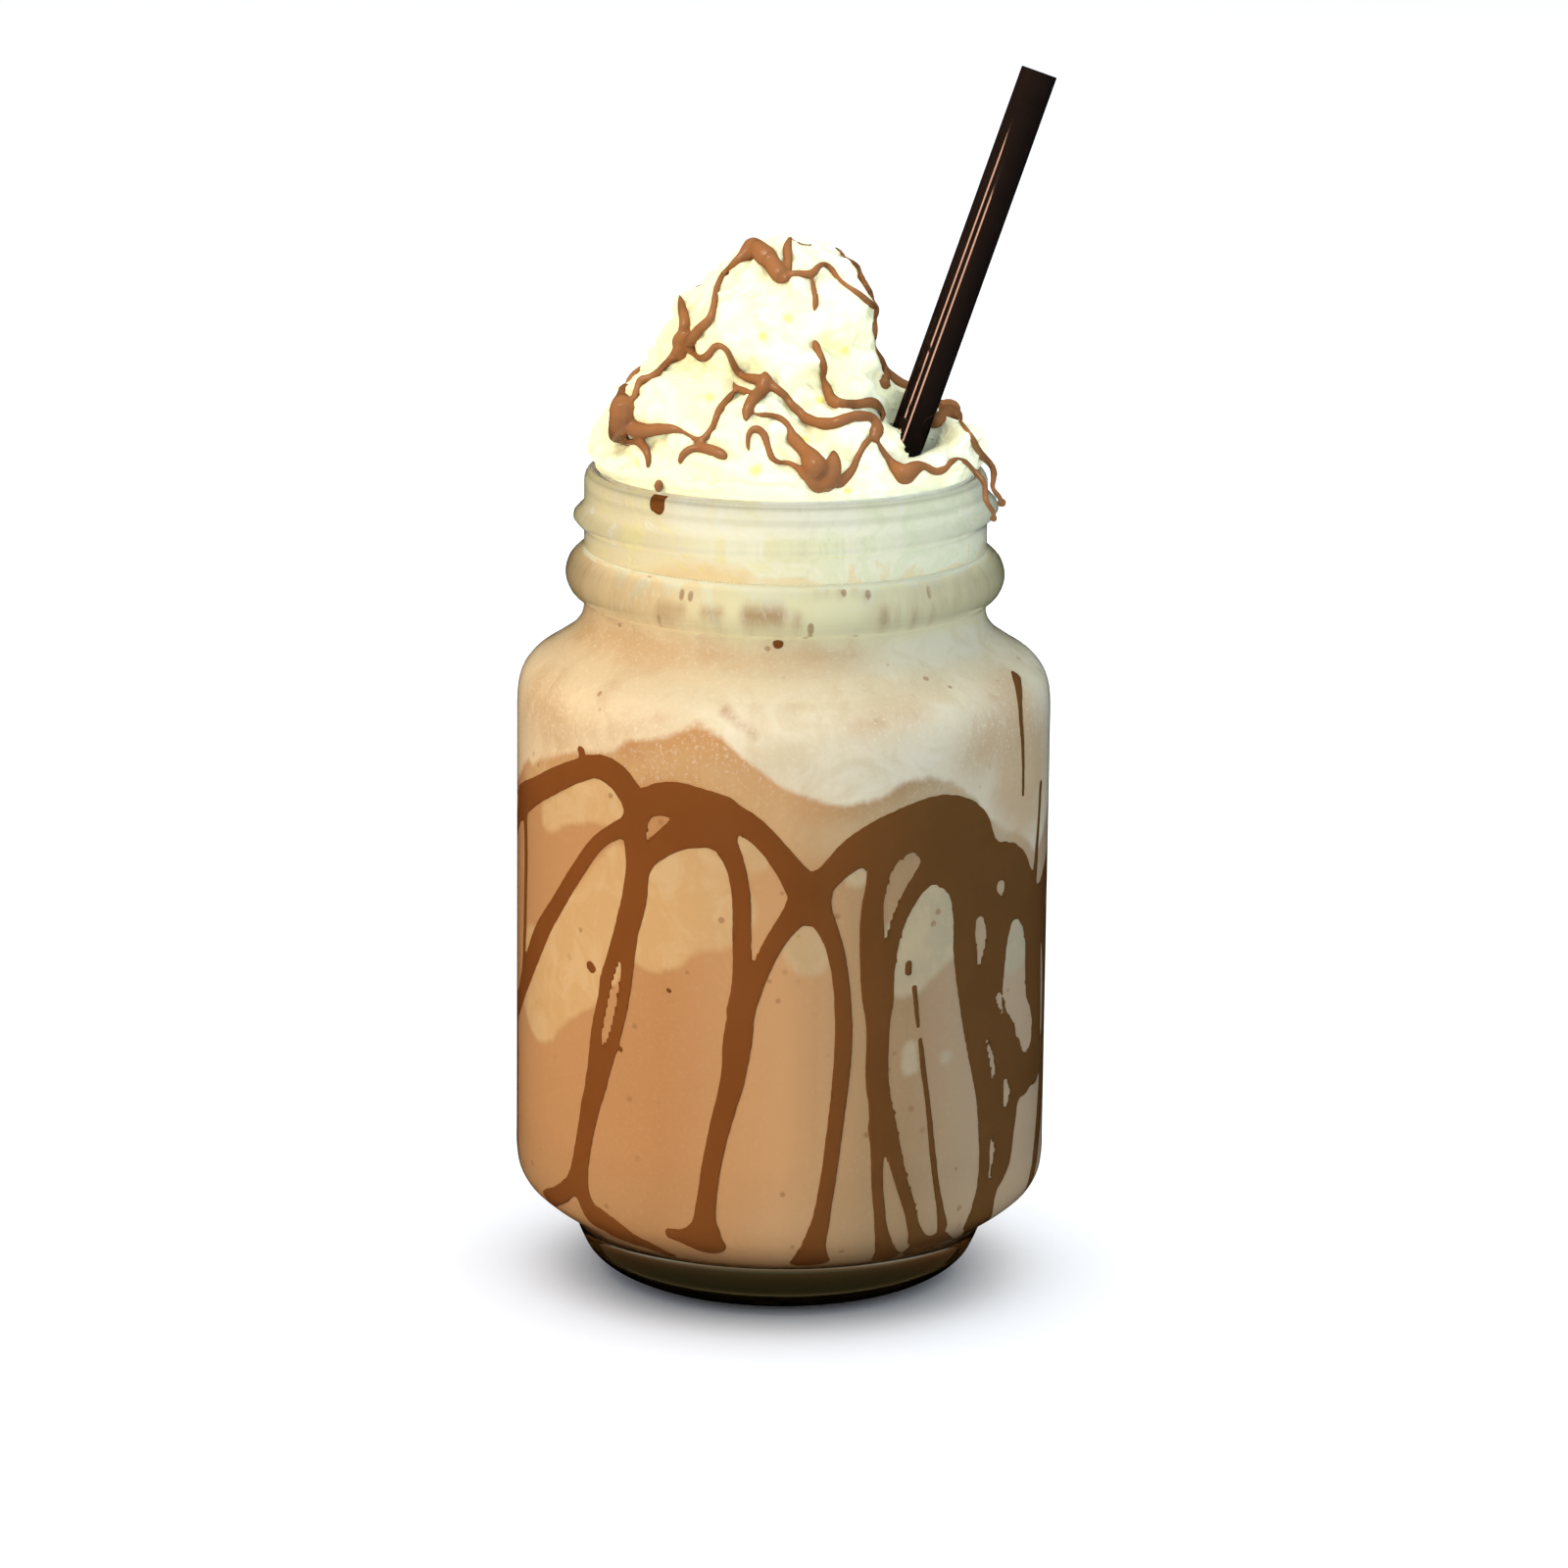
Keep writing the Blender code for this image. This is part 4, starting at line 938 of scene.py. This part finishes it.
# Sauce strands
# Thick chocolate sauce trailed over the cream from a bottle. Round strands lie on the puffs, run
# together in drops and hang over the rim at the right. Points are (across, down) in the picture.
STRANDS = [
    [(771, 248, 14), (770, 254, 24), (764, 262, 20), (754, 266, 10), (744, 276, 8), (734, 288, 8),
     (730, 300, 8), (730, 312, 8), (727, 324, 10), (714, 338, 12), (709, 348, 16), (702, 352, 22)],
    [(770, 252, 18), (778, 264, 22), (789, 273, 20), (797, 283, 20), (806, 286, 12)],
    [(806, 244, 8), (805, 254, 11), (805, 266, 11), (806, 280, 12)],
    [(807, 244, 3), (814, 248, 3), (820, 251, 3), (830, 250, 4)],
    [(800, 284, 10), (811, 281, 9), (822, 282, 10), (830, 280, 10), (834, 272, 8), (842, 270, 7),
     (848, 276, 7), (854, 284, 6), (864, 292, 6), (876, 300, 8), (886, 308, 8), (893, 315, 9)],
    [(828, 284, 6), (831, 296, 6), (833, 308, 8), (831, 318, 7)],
    [(850, 252, 4), (858, 258, 5), (862, 265, 4), (872, 268, 7), (878, 276, 8), (879, 286, 8),
     (882, 294, 8), (890, 302, 8), (896, 314, 10), (892, 326, 10), (890, 336, 8), (894, 348, 7),
     (897, 360, 7), (898, 372, 8), (904, 380, 8), (901, 390, 14)],
    [(899, 382, 7), (905, 387, 5), (909, 396, 4)],
    [(694, 302, 5), (696, 312, 9), (700, 326, 12), (701, 340, 16), (702, 352, 26)],
    [(702, 352, 22), (694, 362, 16), (684, 370, 10), (674, 379, 9), (665, 387, 10), (654, 388, 10),
     (652, 398, 8), (648, 409, 10)],
    [(702, 352, 20), (708, 360, 10), (716, 366, 9), (724, 362, 10), (730, 353, 8), (738, 352, 7),
     (744, 360, 7), (750, 374, 8), (758, 384, 9), (768, 388, 12), (779, 390, 18)],
    [(782, 379, 8), (780, 390, 18), (775, 402, 14), (767, 411, 14), (762, 423, 13), (761, 430, 10)],
    [(779, 391, 16), (790, 397, 11), (801, 404, 10), (812, 418, 10), (823, 428, 12),
     (837, 433, 13), (852, 434, 13), (866, 429, 13), (881, 427, 12), (890, 431, 14),
     (893, 442, 17), (893, 452, 10)],
    [(888, 446, 9), (877, 462, 8), (870, 478, 9), (861, 487, 11), (850, 494, 16)],
    [(895, 450, 8), (898, 456, 6), (903, 466, 8), (911, 478, 14), (922, 487, 21), (932, 480, 17),
     (942, 475, 9), (952, 481, 10), (962, 478, 9), (969, 471, 7), (978, 468, 6)],
    [(837, 378, 7), (841, 391, 8), (845, 402, 12), (850, 413, 14), (862, 416, 12),
     (877, 413, 11), (886, 409, 13), (894, 413, 9), (900, 422, 7), (899, 431, 6)],
    [(830, 346, 9), (833, 358, 10), (838, 368, 9), (841, 382, 8)],
    [(768, 404, 9), (757, 398, 8), (748, 395, 6), (749, 389, 4)],
    [(749, 400, 8), (742, 412, 9), (732, 424, 8), (729, 436, 8), (722, 445, 8), (716, 451, 9),
     (705, 446, 5), (696, 441, 6), (685, 438, 12), (672, 437, 14), (657, 438, 18), (643, 431, 22)],
    [(638, 391, 11), (638, 406, 15), (642, 419, 30), (638, 434, 26), (631, 448, 18),
     (631, 453, 13)],
    [(634, 451, 10), (643, 452, 8), (651, 451, 9), (659, 458, 10), (663, 469, 8), (662, 477, 7)],
    [(694, 473, 7), (697, 464, 9), (706, 459, 10), (717, 459, 11), (730, 463, 12), (741, 469, 13)],
    [(764, 461, 6), (763, 449, 6), (765, 440, 7), (772, 438, 9), (780, 444, 9), (783, 456, 8),
     (787, 468, 8), (793, 473, 6), (803, 472, 6), (814, 478, 8), (824, 487, 13), (840, 495, 22)],
    [(770, 422, 6), (785, 424, 7), (797, 429, 8), (804, 438, 8), (810, 449, 15), (819, 461, 15),
     (828, 471, 24), (838, 482, 34)],
    [(850, 463, 10), (847, 474, 18), (844, 486, 26), (843, 499, 15)],
    [(950, 436, 11), (957, 430, 16), (966, 424, 20), (974, 424, 13), (980, 432, 8)],
    [(960, 412, 11), (968, 414, 12), (976, 422, 10)],
    [(674, 489, 11), (674, 499, 14)],
]
HANGING = [
    [(976, 468, 6), (985, 471, 6), (991, 478, 6), (995, 484, 8), (1002, 491, 7), (1004, 500, 7),
     (1004, 512, 7), (1011, 520, 7), (1013, 529, 8)],
    [(980, 432, 8), (985, 438, 6), (991, 447, 8), (996, 458, 8), (1001, 467, 9), (1009, 474, 8),
     (1013, 482, 8), (1012, 493, 7), (1011, 500, 6), (1018, 507, 7), (1021, 513, 9)],
]
DROPS = [(772, 256, 24), (703, 351, 30), (698, 362, 18), (966, 420, 26), (1021, 513, 11),
         (1013, 529, 9), (901, 392, 14), (923, 486, 22)]
# The guessed trails round the back: (degrees from the front, height over the rim, width).
BACK_TRAILS = [
    [(112, 27, 1.2), (126, 31, 1.5), (141, 23, 1.5), (158, 30, 1.7), (174, 21, 1.4), (192, 29, 1.6),
     (210, 22, 1.5), (228, 30, 1.4), (244, 25, 1.3)],
    [(108, 10, 1.4), (120, 17, 1.5), (134, 8, 1.9), (148, 15, 1.4), (163, 7, 1.7), (178, 14, 1.5),
     (194, 6, 1.8), (210, 14, 1.5), (226, 8, 1.9), (242, 15, 1.4), (252, 11, 1.3)],
    [(116, 4, 1.5), (128, 7, 1.3), (143, 3, 1.6), (158, 5, 1.4), (172, 2.5, 1.9)],
    [(196, 3, 1.7), (212, 6, 1.4), (228, 2.6, 1.7), (240, 5, 1.4)],
]
# Millimetres along the cream for one degree of turn, about.
TRAIL_DEGREE = 0.35
# Where strands hang down over the rim, outside the glass: (radius, height).
SKIRT = [(31.0, RIM + 2.4), (33.2, RIM + 1.2), (34.6, RIM - 0.2), (36.2, RIM - 2.5),
         (36.3, RIM - 16.0)]

guide = turn_on_axis([Vector(p) for p in SKIRT], 96)
guide.from_mesh(cream.data)
rim_tree = BVHTree.FromBMesh(guide)
guide.free()


def softened(spots):
    """The same line with its corners taken off."""
    for _ in range(2):
        between = zip(spots, spots[1:], spots[2:])
        spots = spots[:1] + [(a + b * 2 + c) / 4 for a, b, c in between] + spots[-1:]
    return spots


def add_strand(curve, spots, radii):
    spline = curve.splines.new("POLY")
    spline.points.add(len(spots) - 1)
    for point, spot, radius in zip(spline.points, spots, radii):
        point.co = (*spot, 1.0)
        point.radius = radius


curve = bpy.data.curves.new("strand_lines", "CURVE")
curve.dimensions = "3D"
curve.bevel_depth = 1.0
curve.bevel_resolution = 3
curve.use_fill_caps = True
laid_strands = [(points, cream_tree) for points in STRANDS] + [(p, rim_tree) for p in HANGING]
for k, (points, tree) in enumerate(laid_strands):
    steps = even_steps(points, 4.0)
    halves = 0.5 * steps[:, 2] * PIXEL
    spots = [on_the_cream(u, v, half * 0.5, tree) for (u, v, _), half in zip(steps, halves)]
    radii = [half * (0.94 + 0.15 * noise.noise(Vector((i * 0.45, k, 0.5))))
             * min(1.0, 0.5 + 0.3 * min(i, len(halves) - 1 - i)) for i, half in enumerate(halves)]
    add_strand(curve, softened(spots), radii)
for trail in BACK_TRAILS:
    steps = even_steps([(turn * TRAIL_DEGREE, height, width) for turn, height, width in trail], 0.6)
    spots, radii = [], []
    for turn, height, width in steps:
        angle = math.radians(turn / TRAIL_DEGREE)
        outward = Vector((math.sin(angle), -math.cos(angle), 0.0))
        centre = Vector((-1.0 if height < 14 else 0.0, 0.0, RIM + height)) * MM
        spot, normal, _, _ = cream_tree.ray_cast(centre + outward * 0.06, -outward)
        if spot is not None:
            spots.append(spot + normal * 0.25 * width * MM)
            radii.append(0.5 * width * MM)
    add_strand(curve, softened(spots), radii)
lines = bpy.data.objects.new("strand_lines", curve)
bpy.context.scene.collection.objects.link(lines)
strand_mesh = bmesh.new()
bodies = bpy.context.evaluated_depsgraph_get()
strand_mesh.from_mesh(lines.evaluated_get(bodies).to_mesh())
bpy.data.objects.remove(lines)
for u, v, width in DROPS:
    half = 0.5 * width * PIXEL
    made = bmesh.ops.create_icosphere(strand_mesh, subdivisions=4, radius=half)
    bmesh.ops.scale(strand_mesh, vec=(1.0, 0.6, 0.9), verts=made["verts"])
    bmesh.ops.translate(strand_mesh, vec=on_the_cream(u, v, half * 0.2, rim_tree),
                        verts=made["verts"])

syrup = Shading("chocolate_sauce")
syrup.feed("Base Color", syrup.mix(syrup.noise(160.0), (0.225, 0.088, 0.028), (0.32, 0.135, 0.049)))
syrup.fixed("Roughness", 0.24)
strands = smooth_object(strand_mesh, "sauce_strands", syrup.material)
join = strands.modifiers.new("run_together", "REMESH")
join.mode = "VOXEL"
join.voxel_size = 0.255 * MM
join.use_smooth_shade = True
settle = strands.modifiers.new("settle", "SMOOTH")
settle.factor = 0.5
settle.iterations = 8

# Straw
# A plain black plastic straw, cut square, that leans to the right against the cream and stands
# in the drink. Its wall is a third of a millimetre thick.
STRAW_WALL = 0.35
straw_length = (STRAW_TOP - STRAW_FOOT).length / MM
bore = STRAW_RADIUS / MM - STRAW_WALL
section = [Vector(p) for p in (
    (bore, 0.0), (bore + 0.30, 0.0), (bore + 0.35, 0.05), (bore + 0.35, straw_length - 0.08),
    (bore + 0.27, straw_length), (bore + 0.08, straw_length), (bore, straw_length - 0.08),
    (bore, 0.0))]
straw_mesh = turn_on_axis(section, 64)
bmesh.ops.subdivide_edges(straw_mesh, cuts=1, edges=[
    e for e in straw_mesh.edges if e.calc_length() > 100 * MM])
lean_turn = Vector((0, 0, 1)).rotation_difference(STRAW_TOP - STRAW_FOOT).to_matrix().to_4x4()
straw_mesh.transform(Matrix.Translation(STRAW_FOOT) @ lean_turn)
plastic = Shading("black_straw_plastic")
draw_marks = plastic.noise(240.0, 2.0)
plastic.feed("Base Color",
             plastic.mix(draw_marks, (0.0045, 0.0032, 0.0026), (0.008, 0.0058, 0.0046)))
plastic.feed("Roughness", plastic.spread(draw_marks, 0.3, 0.7, 0.05, 0.07))
straw = smooth_object(straw_mesh, "drinking_straw", plastic.material)
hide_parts("straw")

# Floor and light
# A plain white floor under a soft white sky. A large warm softbox stands at the left, one hangs
# above, weaker cool ones stand in front and at the right, and narrow strips light the straw.
floor_mesh = bmesh.new()
bmesh.ops.create_grid(floor_mesh, x_segments=2, y_segments=2, size=8.0)
floor_data = bpy.data.meshes.new("floor")
floor_mesh.to_mesh(floor_data)
floor_mesh.free()
paint = Shading("floor_white")
paint.fixed("Base Color", (0.93, 0.93, 0.93, 1.0))
paint.fixed("Roughness", 0.9)
paint.fixed("Specular IOR Level", 0.0)
floor_data.materials.append(paint.material)
floor = bpy.data.objects.new("floor", floor_data)
bpy.context.scene.collection.objects.link(floor)
floor.visible_glossy = False

world = bpy.data.worlds.new("white_sky")
world.use_nodes = True
world.node_tree.nodes["Background"].inputs["Color"].default_value = (0.90, 0.98, 1.10, 1.0)
world.node_tree.nodes["Background"].inputs["Strength"].default_value = 0.75
world.cycles_visibility.glossy = False
bpy.context.scene.world = world


def lit_alone(name, *pieces):
    """A collection of the pieces that a lamp shines on."""
    group = bpy.data.collections.new(name)
    for piece in pieces:
        group.objects.link(piece)
    return group


def softbox(name, place, target, size, watts, colour, lights, in_reflections=False,
            along=(0.0, 1.0, 0.5)):
    data = bpy.data.lights.new(name, "AREA")
    data.shape = "RECTANGLE"
    data.size, data.size_y = size
    data.energy = watts
    data.color = colour
    lamp = bpy.data.objects.new(name, data)
    back = (Vector(place) - Vector(target)).normalized()
    across = Vector(along).cross(back).normalized()
    turn = Matrix((across, back.cross(across), back)).transposed()
    lamp.matrix_world = Matrix.Translation(place) @ turn.to_4x4()
    lamp.visible_glossy = in_reflections
    lamp.visible_transmission = False
    lamp.light_linking.receiver_collection = lights
    bpy.context.scene.collection.objects.link(lamp)


served = lit_alone("jar_and_contents", jar, drink, sauce_streaks, cream, strands, straw)
straw_alone = lit_alone("straw_alone", straw)
strands_alone = lit_alone("strands_alone", strands)
wide, strip = (1.0, 1.0), (0.22, 1.6)
middle, straw_middle = (0, 0, 0.08), (0.03, 0, 0.172)
warm_strip = (1.0, 0.55, 0.37)
softbox("key_left", (-1.3, -0.9, 0.8), middle, wide, 17.5, (1.0, 0.76, 0.46), served)
softbox("fill_front", (0.35, -1.5, 0.7), middle, wide, 5.0, (0.60, 0.80, 1.0), served)
softbox("fill_right", (1.1, -0.7, 0.5), middle, wide, 3.0, (0.36, 0.68, 1.0), served)
softbox("cream_fill", (0.7, -1.4, 0.16), (0, 0, 0.13), (0.8, 0.5), 8.5, (1.0, 1.0, 0.86),
        lit_alone("cream_alone", cream))
softbox("top", (0.0, 0.3, 1.8), (0, 0.1, 0), (2.0, 2.0), 22.0, (1.0, 1.0, 0.94), served)
for name, place in (("straw_left", (-0.997, -0.467, 0.582)), ("straw_front", (-0.455, -1.061, 0.461))):
    softbox(name, place, straw_middle, strip, 21.0, warm_strip, straw_alone, True,
            STRAW_TOP - STRAW_FOOT)
softbox("sheen", (-0.45, -0.8, 1.2), (0, 0, 0.15), (0.7, 0.5), 7.0, (1.0, 0.86, 0.72),
        strands_alone, True)
softbox("floor_top", (0.0, 0.0, 2.1), (0, 0.0, 0), (3.2, 3.2), 54.0, (1.0, 1.0, 0.985),
        lit_alone("floor_alone", floor))

bpy.context.scene.view_settings.view_transform = "Standard"
bpy.context.scene.view_settings.look = "None"
